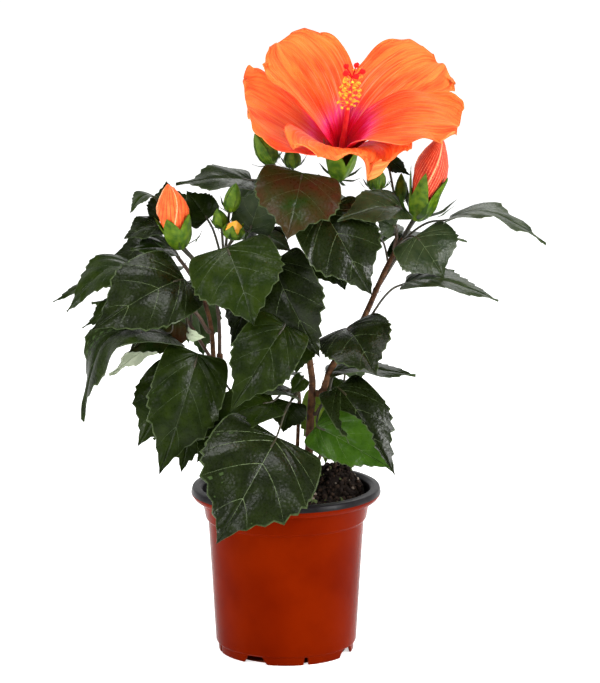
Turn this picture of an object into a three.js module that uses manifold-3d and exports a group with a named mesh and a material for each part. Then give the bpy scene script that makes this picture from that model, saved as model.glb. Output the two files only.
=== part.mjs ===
// A potted hibiscus in flower: two woody stems with their boughs, masses of toothed leaves,
// one open bloom, two large buds, the filled nursery pot.
// Millimetres, +Z up, +Y away from the front. The origin is the middle of the pot's underside.
import * as THREE from 'three';
import { mergeVertices } from 'three/addons/utils/BufferGeometryUtils.js';
import Module from 'manifold-3d';

const wasm = await Module();
wasm.setup();

// ---------------------------------------------------------------- driving dimensions

const GAP = 0.3;                 // clearance between neighbouring solids
const POT_SIDES = 32;
const POT_FLOOR_TOP = 9;
const NOTCH = { count: 4, wideAt: -27, wideHalf: 12, narrowAt: 17, narrowHalf: 2.5, height: 5.6 };
// The pot's section, radius then height, from the hub under its middle round to its floor.
const POT_SECTION = [
  [0, 0], [14, 0], [14, 6.5], [44.8, 6.5], [45, 0], [46.4, 0], [46.7, 5.8], [48.2, 6.6],
  [53.3, 92], [55.1, 93.4], [57.6, 107.6], [62.5, 106.8], [65, 110.4], [64, 114.8],
  [59.4, 115.5], [57, 113.2], [53.9, 94], [52, 91.4], [46.9, POT_FLOOR_TOP], [0, POT_FLOOR_TOP],
];
const SOIL = {
  bottomRadius: 46.4, wallTop: [51.5, 91], topRadius: 54.6, edge: 103, crown: 105,
  heap: 20, heapX: 35, heapY: 24, heapSpread: 15,
};

// Limbs: the path runs through these points; the radii are those of its two ends.
const LIMBS = {
  stem_main: {
    path: [[15, 0, 103], [16, 0, 151], [18, 0, 185]],
    radii: [3.1, 2.4],
    flare: 1.6,
  },
  stem_left: {
    path: [[-34, 5, 103], [-38, 3, 146], [-44, 2, 178], [-45, 2, 206]],
    radii: [2.7, 2.2],
    flare: 1.4,
  },
  stem_thin: {
    path: [[7, 8, 103], [8, 7, 146], [9, -4, 172]],
    radii: [1.5, 1.2],
    flare: 1.3,
  },
  bough_centre: {
    from: ['stem_main', 1],
    path: [[15, 5, 208], [14, 6, 243], [15, 4, 269], [18, 1, 298]],
    radii: [2.3, 1.5],
  },
  bough_right: {
    from: ['stem_main', 0.93],
    lead: 5,
    path: [[30, -2, 198], [40, -2, 210], [52, 0, 228], [66, 3, 262], [79, 5, 285]],
    radii: [2.3, 1.6],
  },
  bough_left: {
    from: ['stem_left', 0.93],
    lead: 4,
    path: [[-50, -3, 226], [-56, -5, 247], [-59, -5, 258], [-62, -6, 271]],
    radii: [1.7, 1.4],
  },
};

// ---------------------------------------------------------------- materials

const finish = (color, roughness) => new THREE.MeshStandardMaterial({ color, roughness, metalness: 0 });
const FINISHES = {
  pot: finish(0xa63a0c, 0.35),
  soil: finish(0x241a14, 0.95),
  bark: finish(0x6b4630, 0.8),
  leaf: finish(0x2c4a22, 0.4),
  petal: finish(0xf0602a, 0.6),
  bud: finish(0xe8622c, 0.6),
};

// ---------------------------------------------------------------- solids

const point = (x, y, z) => new THREE.Vector3(x, y, z);
const UP = point(0, 0, 1);
const FRONT = point(0, -0.98, 0.2).normalize();
const radians = THREE.MathUtils.degToRad;

// A closed skin over rings of points that run anticlockwise about the way they follow. On a
// flat one, the second half of a ring is the underside of the first half, and its faces are
// split along the same lines, so that the two sides never cross.
function skin(rings, startPoint, endPoint, flat = false) {
  const sides = rings[0].length;
  const points = [startPoint, ...rings.flat(), endPoint];
  const last = points.length - 1;
  const at = (ring, side) => 1 + ring * sides + (side % sides);
  const faces = [];
  for (let side = 0; side < sides; side += 1) {
    faces.push(0, at(0, side + 1), at(0, side));
    const isUnderside = flat && side >= sides / 2;
    for (let ring = 0; ring < rings.length - 1; ring += 1) {
      const [a, b] = [at(ring, side), at(ring, side + 1)];
      const [c, d] = [at(ring + 1, side), at(ring + 1, side + 1)];
      faces.push(...(isUnderside ? [a, b, c, b, d, c] : [a, b, d, a, d, c]));
    }
    faces.push(last, at(rings.length - 1, side), at(rings.length - 1, side + 1));
  }
  const geometry = new THREE.BufferGeometry();
  const positions = points.flatMap((p) => p.toArray());
  geometry.setAttribute('position', new THREE.Float32BufferAttribute(positions, 3));
  geometry.setIndex(faces);
  return geometry;
}

function toSolid(geometry) {
  const bare = geometry.clone();
  bare.deleteAttribute('normal');
  bare.deleteAttribute('uv');
  const merged = mergeVertices(bare, 1e-4);
  return new wasm.Manifold(new wasm.Mesh({
    numProp: 3,
    vertProperties: new Float32Array(merged.attributes.position.array),
    triVerts: new Uint32Array(merged.index.array),
  }));
}

function toMesh(name, solid, material) {
  const mesh = solid.getMesh();
  const geometry = new THREE.BufferGeometry();
  geometry.setAttribute('position', new THREE.BufferAttribute(mesh.vertProperties, 3));
  geometry.setIndex(new THREE.BufferAttribute(mesh.triVerts, 1));
  geometry.computeVertexNormals();
  const result = new THREE.Mesh(geometry, material);
  result.name = name;
  return result;
}

const joined = (geometries) => geometries.map(toSolid).reduce((whole, piece) => whole.add(piece));

// ---------------------------------------------------------------- paths and tubes

// Cuts a path's corners, so that its bends become smooth; both ends stay where they are.
function rounded(path, times) {
  let points = path;
  for (let time = 0; time < times; time += 1) {
    const cut = [points[0]];
    for (let index = 0; index < points.length - 1; index += 1) {
      cut.push(points[index].clone().lerp(points[index + 1], 0.25));
      cut.push(points[index].clone().lerp(points[index + 1], 0.75));
    }
    points = [...cut, points.at(-1)];
  }
  return points;
}

// The point at a share of a path's length, with the way the path runs there.
function along(path, share) {
  const steps = path.slice(1).map((end, index) => end.distanceTo(path[index]));
  let left = share * steps.reduce((sum, step) => sum + step, 0);
  let index = 0;
  while (index < steps.length - 1 && left > steps[index]) {
    left -= steps[index];
    index += 1;
  }
  const way = path[index + 1].clone().sub(path[index]).normalize();
  return { place: path[index].clone().addScaledVector(way, left), way };
}

// A radius that runs evenly from the first of two radii to the second.
const between = (radii) => (share) => THREE.MathUtils.lerp(...radii, share);

// A round tube along a path; radiusAt gives its radius from the share of the path.
function tube(path, radiusAt, sides) {
  let across = null;
  const rings = path.map((center, index) => {
    const before = path[Math.max(0, index - 1)];
    const after = path[Math.min(path.length - 1, index + 1)];
    const way = after.clone().sub(before).normalize();
    const start = across ?? (Math.abs(way.z) > 0.9 ? point(1, 0, 0) : UP);
    across = start.clone().addScaledVector(way, -start.dot(way)).normalize();
    const other = way.clone().cross(across);
    const radius = radiusAt(index / (path.length - 1));
    return Array.from({ length: sides }, (_, side) => {
      const angle = (2 * Math.PI * side) / sides;
      return center.clone()
        .addScaledVector(across, radius * Math.cos(angle))
        .addScaledVector(other, radius * Math.sin(angle));
    });
  });
  return skin(rings, path[0], path.at(-1));
}

// ---------------------------------------------------------------- stems and boughs

const LIMB_SIDES = 7;
const FLARE_SHARE = 0.12;        // share of a stem over which its foot widens
const limbs = {};

const limbRadius = ({ radii, flare = 1 }, share) => {
  const foot = Math.max(0, 1 - share / FLARE_SHARE);
  return THREE.MathUtils.lerp(radii[0], radii[1], share) * (1 + (flare - 1) * foot * foot);
};

// Where a limb or a mass's stem starts: clear of its parent's tip, or clear of its side. It
// runs straight out for its lead before it turns.
function startClear([parentName, share], next, lead = 2) {
  const parent = limbs[parentName];
  const { place, way } = along(parent.path, share);
  const out = way.clone();
  let clear = GAP;
  if (share < 1) {
    out.copy(next).sub(place);
    out.addScaledVector(way, -out.dot(way)).normalize();
    clear += limbRadius(parent, share);
  }
  return [clear, clear + lead].map((distance) => place.clone().addScaledVector(out, distance));
}

function pathFrom({ from, path, lead }) {
  const points = path.map((place) => point(...place));
  return from ? [...startClear(from, points[0], lead), ...points] : points;
}

for (const [name, limb] of Object.entries(LIMBS)) {
  limbs[name] = { ...limb, path: rounded(pathFrom(limb), 1) };
}

// ---------------------------------------------------------------- leaves

const LEAF_THICKNESS = 1.1;
const LEAF_STATIONS = [0.08, 0.3, 0.55, 0.8];
const LOBE = 0.11;               // how far a blade's lower lobes reach back, as a share of its length
const CURL = 0.06;
const PETIOLE_RADII = [1, 0.75];
const PETIOLE_SIDES = 3;
const PETIOLE_LIFT = 0.16;

// Half a blade's width as a share of its widest: round at the base, drawn out at the tip.
const bladeHalf = (u) => (Math.sqrt(u) * (1 - u) ** 0.93) / 0.3963;

// A leaf row: where on the mass's stem its stalk leaves, the blade's base and tip, its width,
// how far it is turned about its length from facing the front, its arch and its fold.
const bladeFrame = ([share, base, tip, ...shape]) => (
  frameFacing(FRONT, share, point(...base), point(...tip), ...shape)
);

function frameFacing(facing, share, start, tip, width, turn, arch, fold) {
  const ahead = tip.clone().sub(start);
  const length = ahead.length();
  ahead.divideScalar(length);
  const normal = facing.clone().addScaledVector(ahead, -facing.dot(ahead)).normalize();
  normal.applyAxisAngle(ahead, radians(turn));
  const side = normal.clone().cross(ahead);
  return { share, start, ahead, side, normal, length, width, arch, fold };
}

// A point of the blade: u runs from base to tip, v from -1 to 1 across.
function bladePoint(frame, u, v, lift = 0) {
  const half = (frame.width / 2) * bladeHalf(u);
  const back = LOBE * Math.sin(Math.PI * Math.min(1, u / 0.3)) * Math.abs(v) ** 1.5;
  const rise = frame.arch * frame.length * 4 * u * (1 - u) * (1 + 0.5 * (1 - 2 * u))
    + (frame.fold + 0.1) * half * Math.abs(v) - CURL * 2 * half * v * v;
  return frame.start.clone()
    .addScaledVector(frame.ahead, frame.length * (u - back))
    .addScaledVector(frame.side, half * v)
    .addScaledVector(frame.normal, rise + lift);
}

function blade(frame) {
  const rings = LEAF_STATIONS.map((u) => [
    bladePoint(frame, u, 1),
    bladePoint(frame, u, 0, LEAF_THICKNESS / 2),
    bladePoint(frame, u, -1),
    bladePoint(frame, u, 0, -LEAF_THICKNESS / 2),
  ]);
  return skin(rings, bladePoint(frame, 0, 0), bladePoint(frame, 1, 0), true);
}

function petiole(stem, frame) {
  const root = along(stem, frame.share).place;
  const end = bladePoint(frame, 0.12, 0);
  const middle = root.clone().lerp(frame.start, 0.55);
  middle.addScaledVector(UP, PETIOLE_LIFT * root.distanceTo(end));
  return tube([root, middle, frame.start, end], between(PETIOLE_RADII), PETIOLE_SIDES);
}

// ---------------------------------------------------------------- buds and the bloom

const BUD_STALK_RADIUS = 0.9;
// A closed bud's profile from base to tip: share of its length, then share of its radius.
const GREEN_BUD = [[0.04, 0.55], [0.25, 0.95], [0.5, 1], [0.78, 0.62]];
const LARGE_BUD = [
  [0.03, 0.42], [0.14, 0.82], [0.32, 1], [0.5, 1.02], [0.66, 0.86], [0.82, 0.55], [0.93, 0.28],
];

function budBody(base, tip, radius, profile, sides, twist = 0) {
  const ahead = tip.clone().sub(base);
  const across = point(1, 0, 0).addScaledVector(ahead, -ahead.x / ahead.lengthSq()).normalize();
  const other = ahead.clone().normalize().cross(across);
  const rings = profile.map(([share, size]) => Array.from({ length: sides }, (_, side) => {
    const angle = (2 * Math.PI * side) / sides + twist * share;
    return base.clone().addScaledVector(ahead, share)
      .addScaledVector(across, radius * size * Math.cos(angle))
      .addScaledVector(other, radius * size * Math.sin(angle));
  }));
  return skin(rings, base, tip);
}

// A bud row: where on the stem its stalk leaves, its base, its tip and its radius.
function greenBud(stem, [share, base, tip, radius]) {
  const start = point(...base);
  const end = point(...tip);
  const root = along(stem, share).place;
  const path = rounded([root, root.clone().lerp(start, 0.6), start, start.clone().lerp(end, 0.2)], 1);
  return [tube(path, () => BUD_STALK_RADIUS, PETIOLE_SIDES), budBody(start, end, radius, GREEN_BUD, 6)];
}

const BLOOM = {
  throat: point(37, -12, 346), axis: point(0.1, -0.55, 0.83).normalize(),
  calyxBase: point(35.6, 0, 326), calyxRadii: [3.4, 8.6, 9.6],
  claw: 3.2, columnLength: 68, columnRadii: [2.4, 1.5], pads: 5, anthers: 9,
};
// A petal row: bearing about the axis from the front, length, width, rise at its root and at
// its tip, the height of its waves, how far a lobe of its margin sags, and how far its tip
// leans to the side.
const PETALS = [
  [2, 60, 84, 62, 16, 2.6, 14, 3],
  [72, 105, 55, 70, 9, 3.4, 0, -10],
  [133, 94, 60, 68, -1, 3.7, 0, -5],
  [-127, 89, 63, 73, 30, 4, 0, 9],
  [-83, 70, 74, 29, 14, 1.2, 0, -23],
];
const PETAL_STATIONS = [0.1, 0.32, 0.56, 0.78, 0.93];
const SAG_AT = 0.62;             // the share across a petal where its lobe sags most
const SAG_WIDTH = 0.15;
const PETAL_ACROSS = 2;          // steps on either side of a petal's middle
const PETAL_THICKNESS = 1;
const STYLE_RADIUS = 0.8;
const PAD_RADIUS = 1.9;
const GOLDEN_ANGLE = 137.5;      // the turn from one leaf, or one anther, to the next

const petalHalf = (u) => (u ** 0.65 * Math.sqrt(1 - u ** 6)) / 0.752;

function bloomFrame(bearing) {
  const { axis } = BLOOM;
  const front = point(0, -1, 0).addScaledVector(axis, axis.y).normalize();
  const out = front.applyAxisAngle(axis, radians(bearing));
  return { out, side: axis.clone().cross(out) };
}

// A point of a petal: u from claw to margin, v from -1 to 1 across.
function petalPoint(row, u, v, lift = 0) {
  const [bearing, length, width, riseRoot, riseTip, wave, sag, lean] = row;
  const { out, side } = bloomFrame(bearing);
  const bend = radians(riseTip - riseRoot);
  const slope = radians(riseRoot) + bend * u;
  // The middle line is an arc of a circle that starts at the claw.
  const reach = BLOOM.claw + (length * (Math.sin(slope) - Math.sin(radians(riseRoot)))) / bend;
  const height = (length * (Math.cos(radians(riseRoot)) - Math.cos(slope))) / bend;
  const half = (width / 2) * petalHalf(u);
  const cup = (half * half * v * v * Math.sin(Math.max(0, slope))) / (2 * Math.max(reach, half));
  const ruffle = wave * v * v * u * u * Math.sin(9 * u + 2.4 * v + radians(bearing) * 2)
    + wave * 0.5 * u ** 6 * Math.cos(7 * v + radians(bearing));
  const overlap = 1.6 * v;
  const normalOut = -Math.sin(slope);
  const droop = sag * Math.exp(-(((v - SAG_AT) / SAG_WIDTH) ** 2)) * u ** 3;
  const rise = cup + ruffle + overlap - droop + lift;
  return BLOOM.throat.clone()
    .addScaledVector(out, reach + normalOut * rise)
    .addScaledVector(BLOOM.axis, height + Math.cos(slope) * rise)
    .addScaledVector(side, half * v + lean * u * u);
}

function petal(row) {
  const steps = Array.from({ length: 2 * PETAL_ACROSS - 1 }, (_, index) => 1 - (index + 1) / PETAL_ACROSS);
  const rings = PETAL_STATIONS.map((u) => [
    petalPoint(row, u, 1),
    ...steps.map((v) => petalPoint(row, u, v, PETAL_THICKNESS / 2)),
    petalPoint(row, u, -1),
    ...steps.map((v) => petalPoint(row, u, -v, -PETAL_THICKNESS / 2)),
  ]);
  return skin(rings, petalPoint(row, 0, 0), petalPoint(row, 1, 0), true);
}

function calyx() {
  const { calyxBase, throat, calyxRadii } = BLOOM;
  const profile = [[0.04, calyxRadii[0]], [0.4, calyxRadii[1]], [0.95, calyxRadii[2]]];
  return budBody(calyxBase, throat.clone().lerp(calyxBase, -0.15), 1, profile, 10);
}

function column() {
  const { throat, axis, columnLength, columnRadii, pads, anthers } = BLOOM;
  const at = (share) => throat.clone().addScaledVector(axis, share * columnLength);
  const pieces = [tube([at(-0.04), at(0.5), at(1)], between(columnRadii), 6)];
  for (let index = 0; index < pads; index += 1) {
    const { out } = bloomFrame((360 / pads) * index + 20);
    const tip = at(1.05).addScaledVector(out, 6);
    const [under, over] = [-PAD_RADIUS, PAD_RADIUS].map((rise) => tip.clone().addScaledVector(axis, rise));
    pieces.push(tube([at(0.96), tip], () => STYLE_RADIUS, 4));
    pieces.push(budBody(under, over, PAD_RADIUS, [[0.25, 0.8], [0.7, 0.9]], 6));
  }
  for (let index = 0; index < anthers; index += 1) {
    const { out } = bloomFrame(GOLDEN_ANGLE * index);
    const root = at(0.55 + (0.36 * index) / anthers);
    const end = root.clone().addScaledVector(out, 5).addScaledVector(axis, 1.5);
    pieces.push(tube([root, end], () => STYLE_RADIUS, 4));
  }
  return pieces;
}

// ---------------------------------------------------------------- room between leaves

const CLEARANCE = 7;             // how far a grown leaf stays from what is there already
const SAMPLES_ALONG = [0.08, 0.25, 0.42, 0.6, 0.8, 1];
const SAMPLES_ACROSS = [-0.85, -0.4, 0, 0.4, 0.85];
const taken = [];

const bladeSamples = (frame) => (
  SAMPLES_ALONG.flatMap((u) => SAMPLES_ACROSS.map((v) => bladePoint(frame, u, v)))
);
const pathSamples = (path) => Array.from({ length: 25 }, (_, index) => along(path, index / 24).place);
const hasRoom = (points) => points.every((p) => taken.every((other) => p.distanceTo(other) > CLEARANCE));
const inside = (p, center, reach) => p.clone().sub(center).divide(reach).length() < 1;

// ---------------------------------------------------------------- masses of foliage

const TWIG_RADII = [1.5, 1];
const TWIG_SIDES = 5;

const MASSES = {
  leaves_left_side: {
    from: ['bough_left', 0.36],
    stem: [[-60, -13, 238], [-69, -13, 242], [-76, -8, 234]],
    leaves: [
      [0.45, [-68, -20, 262], [-129, -48, 232], 56, 20, 0.10, 0.05],
      [0.95, [-77, -16, 222], [-137, -30, 167], 46, 58, 0.38, 0.05],
      [0.60, [-73, -2, 232], [-106, -14, 210], 38, 20, 0.08, 0],
      [0.85, [-81, 2, 217], [-120, -2, 192], 34, 110, 0.05, 0],
      [0.30, [-99, 12, 263], [-148, -6, 237], 36, 52, 0.22, 0.05],
      [0.40, [-118, 16, 252], [-158, 8, 241], 16, 60, 0.12, 0],
      [0.55, [-104, -4, 245], [-137, -14, 227], 18, 40, 0.10, 0],
      [0.70, [-66, -24, 227], [-54, -26, 223], 10, 40, 0.20, 0],
    ],
  },
  leaves_left_top: {
    from: ['bough_left', 0.8],
    stem: [[-68, 4, 266], [-74, 11, 272], [-79, 16, 282], [-81, 16, 292]],
    leaves: [
      [0.95, [-78, 18, 296], [-81, 20, 322], 30, 0, 0.05, 0.05],
      [0.80, [-88, 12, 312], [-105, 4, 303], 22, 65, 0.25, 0.1],
      [0.65, [-86, 6, 293], [-109, 0, 286], 26, 50, 0.10, 0.1],
      [0.45, [-77, 5, 278], [-105, -6, 279], 26, 55, 0.05, 0.1],
      [0.35, [-84, 34, 271], [-117, 30, 270], 36, 30, 0.10, 0.1],
    ],
  },
  leaves_left_low: {
    from: ['stem_left', 0.75],
    stem: [[-50, -12, 183], [-55, -14, 188]],
    leaves: [
      [0.95, [-59, -26, 212], [-85, -50, 134], 50, -8, 0.06, 0.05],
      [0.60, [-68, -10, 196], [-100, -26, 148], 44, 10, 0.08, 0.05],
      [0.40, [-58, -8, 179], [-71, -22, 129], 34, 0, 0.05, 0],
      [0.60, [-55, 3, 178], [-75, -6, 144], 36, 10, 0.05, 0],
      [0.30, [-43, -20, 158], [-60, -34, 139], 24, 0, 0.05, 0],
    ],
  },
  leaves_centre_left: {
    from: ['stem_left', 1],
    stem: [[-45, 5, 225], [-47, 4, 243], [-47, 3, 255], [-40, 2, 281]],
    leaves: [
      [0.80, [-39, -30, 285], [-21, -56, 237], 62, 0, 0.08, 0.05],
      [0.85, [-53, 12, 297], [-67, 10, 317], 26, 20, 0.05, 0],
      [0.95, [-24, -4, 292], [-14, -12, 325], 30, 0, 0.05, 0.15],
      [0.75, [-12, -10, 289], [4, -15, 279], 14, -40, 0.05, 0.1],
    ],
    buds: [
      [0.97, [-38, -8, 305], [-33, -14, 326], 5.5],
      [0.90, [-43, -8, 294], [-46, -10, 308], 5],
      [0.93, [-36, -16, 288], [-33, -18, 301], 7.2],
    ],
  },
  leaves_centre_mid: {
    from: ['bough_centre', 0.5],
    stem: [[8, -4, 248], [3, -13, 253]],
    leaves: [
      [0.90, [0, -34, 233], [-37, -52, 178], 45, 12, 0.08, 0.1],
      [0.50, [9, -8, 220], [7, -16, 196], 26, 10, 0.05, 0],
      [0.95, [-9, -18, 273], [23, -38, 211], 50, 15, 0.08, 0.05],
    ],
  },
  leaves_centre_top: {
    from: ['bough_centre', 0.93],
    stem: [[13, -5, 301], [6, -2, 311], [0, 3, 320]],
    leaves: [
      [0.60, [11, -24, 334], [1, -48, 293], 58, 0, 0.08, 0.05],
      [0.20, [25, -22, 308], [57, -40, 254], 54, -12, 0.08, 0.05],
      [0.20, [29, -8, 285], [40, -14, 253], 40, 20, 0.05, 0],
      [0.30, [18, 14, 308], [37, 8, 313], 16, -60, 0.10, 0],
      [0.50, [-1, 6, 285], [-13, 4, 292], 10, 40, 0.20, 0],
      [0.97, [-23, 13, 323], [-74, 2, 322], 38, 62, 0.06, 0.05],
    ],
    buds: [
      [0.98, [-8, 0, 337], [-21, -6, 358], 7],
      [0.95, [5, 4, 333], [3, 2, 348], 5.8],
    ],
  },
  leaves_right_top: {
    from: ['bough_right', 0.93],
    stem: [[75, -2, 287], [73, 2, 298], [75, 8, 306]],
    leaves: [
      [0.60, [78, -9, 308], [34, -38, 304], 30, 38, 0.10, 0.15],
      [0.40, [73, -8, 295], [60, -14, 304], 20, 20, 0.05, 0.05],
      [0.04, [87, -10, 289], [106, -18, 262], 52, -30, 0.06, 0.1],
      [0.04, [110, 6, 297], [175, -8, 284], 42, -74, 0.16, 0.1],
      [0.95, [67, 18, 340], [84, 12, 327], 12, 30, 0.08, 0.1],
    ],
    buds: [
      [0.95, [77, 10, 308], [78, 11, 329], 4],
      [0.80, [61, 0, 318], [60, 0, 336], 6.4],
    ],
  },
  leaves_right_side: {
    from: ['bough_right', 0.45],
    stem: [[52, -9, 226], [56, -13, 233]],
    leaves: [
      [0.90, [80, -16, 258], [142, -28, 248], 38, -68, 0.10, 0.1],
      [0.60, [41, -14, 227], [60, -54, 203], 50, -8, 0.10, 0.1],
    ],
  },
  leaves_right_low: {
    from: ['stem_main', 0.76],
    stem: [[24, -5, 172], [30, -4, 177]],
    leaves: [
      [0.90, [33, 4, 193], [88, -6, 192], 34, -72, 0.06, 0.1],
      [0.80, [35, -6, 185], [74, -28, 128], 42, -28, 0.08, 0.1],
      [0.60, [30, 10, 178], [27, 4, 129], 38, 175, 0.04, 0],
      [0.60, [20, -24, 161], [70, -40, 136], 36, -22, 0.08, 0.15],
    ],
  },
  leaves_centre_low: {
    from: ['stem_thin', 1],
    stem: [[9, -9, 181], [7, -12, 187]],
    leaves: [
      [0.90, [7, -10, 179], [-24, -18, 185], 26, 72, 0.08, 0.1],
      [0.70, [3, -4, 174], [-2, -10, 154], 26, 10, 0.05, 0],
      [0.95, [12, -14, 193], [3, -20, 183], 12, 0, 0.10, 0],
      [0.80, [-8, -22, 178], [-64, -36, 154], 40, 45, 0.08, 0.1],
      [0.60, [-6, -42, 158], [-46, -84, 96], 80, 4, 0.10, 0.05],
    ],
  },
};

function massSolid({ from, stem, leaves, buds = [] }) {
  const path = rounded(pathFrom({ from, path: stem }), 1);
  const frames = leaves.map(bladeFrame);
  for (const frame of frames) {
    taken.push(...bladeSamples(frame));
  }
  taken.push(...pathSamples(path));
  return joined([
    tube(path, between(TWIG_RADII), TWIG_SIDES),
    ...frames.flatMap((frame) => [petiole(path, frame), blade(frame)]),
    ...buds.flatMap((row) => greenBud(path, row)),
  ]);
}

// ---------------------------------------------------------------- flowering shoots

const SHOOTS = {
  bloom_shoot: {
    from: ['bough_centre', 1],
    stem: [[24, 1, 309], [31, 1, 318], [35.6, 0, 327]],
  },
  bud_shoot_left: {
    from: ['bough_left', 1],
    stem: [[-66, -7, 277], [-71, -9, 283]],
    bud: [[-71, -9, 281], [-79, -12, 325], 11.3],
  },
  bud_shoot_right: {
    from: ['bough_right', 1],
    stem: [[83, 1, 293], [88, -4, 302]],
    bud: [[88, -4, 300], [104, -10, 357], 12],
  },
};
const SHOOT_RADII = [1.5, 1.7];

function shootSolid({ from, stem, bud }) {
  const path = rounded(pathFrom({ from, path: stem }), 1);
  const stalk = tube(path, between(SHOOT_RADII), TWIG_SIDES);
  if (bud) {
    const [base, tip, radius] = bud;
    return joined([stalk, budBody(point(...base), point(...tip), radius, LARGE_BUD, 10, 1.2)]);
  }
  return joined([stalk, calyx(), ...PETALS.map(petal), ...column()]);
}

// ---------------------------------------------------------------- pot and potting mix

// A wedge that cuts a notch through the foot ring, wider at the ground.
function notchCutter(bearing, half) {
  const foot = 42;
  const outside = 54;
  const corner = (radius, turn, height) => {
    const angle = radians(bearing + turn - 90);
    return point(radius * Math.cos(angle), radius * Math.sin(angle), height);
  };
  const ring = (radius) => [
    corner(radius, -half, -1), corner(radius, half, -1),
    corner(radius, half * 0.55, NOTCH.height), corner(radius, -half * 0.55, NOTCH.height),
  ];
  const rings = [ring(foot), ring(outside)];
  return skin(rings, corner(foot, 0, NOTCH.height / 2), corner(outside, 0, NOTCH.height / 2));
}

function potSolid() {
  const profile = POT_SECTION.map(([radius, height]) => new THREE.Vector2(radius, height));
  const turned = new THREE.LatheGeometry(profile, POT_SIDES).rotateX(Math.PI / 2);
  let pot = toSolid(turned);
  for (let index = 0; index < NOTCH.count; index += 1) {
    const step = (360 / NOTCH.count) * index;
    pot = pot.subtract(toSolid(notchCutter(NOTCH.wideAt + step, NOTCH.wideHalf)));
    pot = pot.subtract(toSolid(notchCutter(NOTCH.narrowAt + step, NOTCH.narrowHalf)));
  }
  return pot;
}

const soilHeight = (x, y) => {
  const { edge, crown, heap, heapX, heapY, heapSpread, topRadius } = SOIL;
  const dome = (crown - edge) * Math.max(0, 1 - (x * x + y * y) / topRadius ** 2);
  const away = ((x - heapX) ** 2 + (y - heapY) ** 2) / (2 * heapSpread ** 2);
  const crumbs = 0.9 * Math.sin(0.31 * x + 1.3) * Math.cos(0.27 * y) + 0.6 * Math.sin(0.62 * (x - y));
  return edge + dome + heap * Math.exp(-away) + crumbs;
};

function soilSolid() {
  const { bottomRadius, wallTop, topRadius } = SOIL;
  const round = (radius, heightAt) => Array.from({ length: POT_SIDES }, (_, side) => {
    const angle = (2 * Math.PI * side) / POT_SIDES;
    const [x, y] = [radius * Math.cos(angle), radius * Math.sin(angle)];
    return point(x, y, heightAt(x, y));
  });
  const floor = POT_FLOOR_TOP + GAP;
  const rings = [
    round(bottomRadius, () => floor),
    round(wallTop[0], () => wallTop[1]),
    ...[1, 0.92, 0.78, 0.6, 0.4, 0.2].map((share) => round(topRadius * share, soilHeight)),
  ];
  let soil = toSolid(skin(rings, point(0, 0, floor), point(0, 0, soilHeight(0, 0))));
  for (const name of ['stem_main', 'stem_left', 'stem_thin']) {
    const limb = limbs[name];
    const path = [limb.path[0].clone().addScaledVector(UP, -GAP), ...limb.path.slice(1)];
    soil = soil.subtract(toSolid(tube(path, (share) => limbRadius(limb, share) + GAP, LIMB_SIDES)));
  }
  return soil;
}

// ---------------------------------------------------------------- masses grown by rule

// A generator that gives the same shares of one from the same seed.
function seeded(seed) {
  let state = seed;
  return () => {
    state = (state * 16807) % 2147483647;
    return state / 2147483647;
  };
}

// The way that has a bearing, anticlockwise from +X seen from above, and a rise, in degrees.
const heading = (bearing, rise) => point(
  Math.cos(radians(bearing)) * Math.cos(radians(rise)),
  Math.sin(radians(bearing)) * Math.cos(radians(rise)),
  Math.sin(radians(rise)),
);

// Shoots that fill the crown behind the leaves above. Each keeps to an egg-shaped space: its
// twig runs from its limb to the middle of that space, each leaf leaves the twig a golden
// angle on from the one before, and a leaf is skipped where it finds no room.
const GROWN = {
  leaves_back_left: {
    from: ['stem_left', 0.9], center: [-80, 50, 240], reach: [62, 62, 62], leaves: 10, seed: 71,
  },
  leaves_back_low: {
    from: ['stem_left', 0.4], center: [-36, 50, 166], reach: [70, 62, 50], leaves: 10, seed: 29,
  },
  leaves_back_mid: {
    from: ['bough_centre', 0.25], center: [-12, 60, 230], reach: [54, 66, 66], leaves: 11, seed: 5,
  },
  leaves_back_right_low: {
    from: ['stem_main', 0.2], center: [42, 48, 172], reach: [38, 60, 56], leaves: 8, seed: 13,
  },
  leaves_back_right: {
    from: ['bough_right', 0.7], center: [82, 48, 274], reach: [60, 60, 46], leaves: 10, seed: 47,
  },
  leaves_back_top: {
    from: ['bough_centre', 0.8], center: [6, 46, 298], reach: [66, 58, 44], leaves: 10, seed: 83,
  },
};
const TRIES = 80;

function grownFrame(path, share, bearing, random) {
  const root = along(path, share).place;
  const size = 1 - 0.3 * share;
  const toward = bearing + 120 * (random() - 0.5);
  const start = root.clone().addScaledVector(heading(toward, 20 + 30 * random()), 14 + 12 * random());
  const length = size * (64 + 24 * random());
  const ahead = heading(toward + 40 * (random() - 0.5), 10 - 75 * random());
  const tip = start.clone().addScaledVector(ahead, length);
  const width = length * (0.6 + 0.12 * random());
  const turn = 40 * (random() - 0.5);
  const arch = 0.06 + 0.1 * random();
  const fold = 0.04 + 0.06 * random();
  return frameFacing(UP, share, start, tip, width, turn, arch, fold);
}

function grownMass({ from, center, reach, leaves, seed }) {
  const random = seeded(seed);
  const [middle, size] = [point(...center), point(...reach)];
  const path = rounded([...startClear(from, middle), middle], 1);
  const bearing = 360 * random();
  const frames = [];
  for (let index = 0; index < leaves; index += 1) {
    const share = 0.35 + (0.65 * index) / (leaves - 1);
    for (let attempt = 0; attempt < TRIES; attempt += 1) {
      const frame = grownFrame(path, share, bearing + GOLDEN_ANGLE * index, random);
      const points = bladeSamples(frame);
      if (points.every((p) => inside(p, middle, size)) && hasRoom(points)) {
        frames.push(frame);
        taken.push(...points);
        break;
      }
    }
  }
  taken.push(...pathSamples(path));
  return joined([
    tube(path, between(TWIG_RADII), TWIG_SIDES),
    ...frames.flatMap((frame) => [petiole(path, frame), blade(frame)]),
  ]);
}

// ---------------------------------------------------------------- the plant

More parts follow.
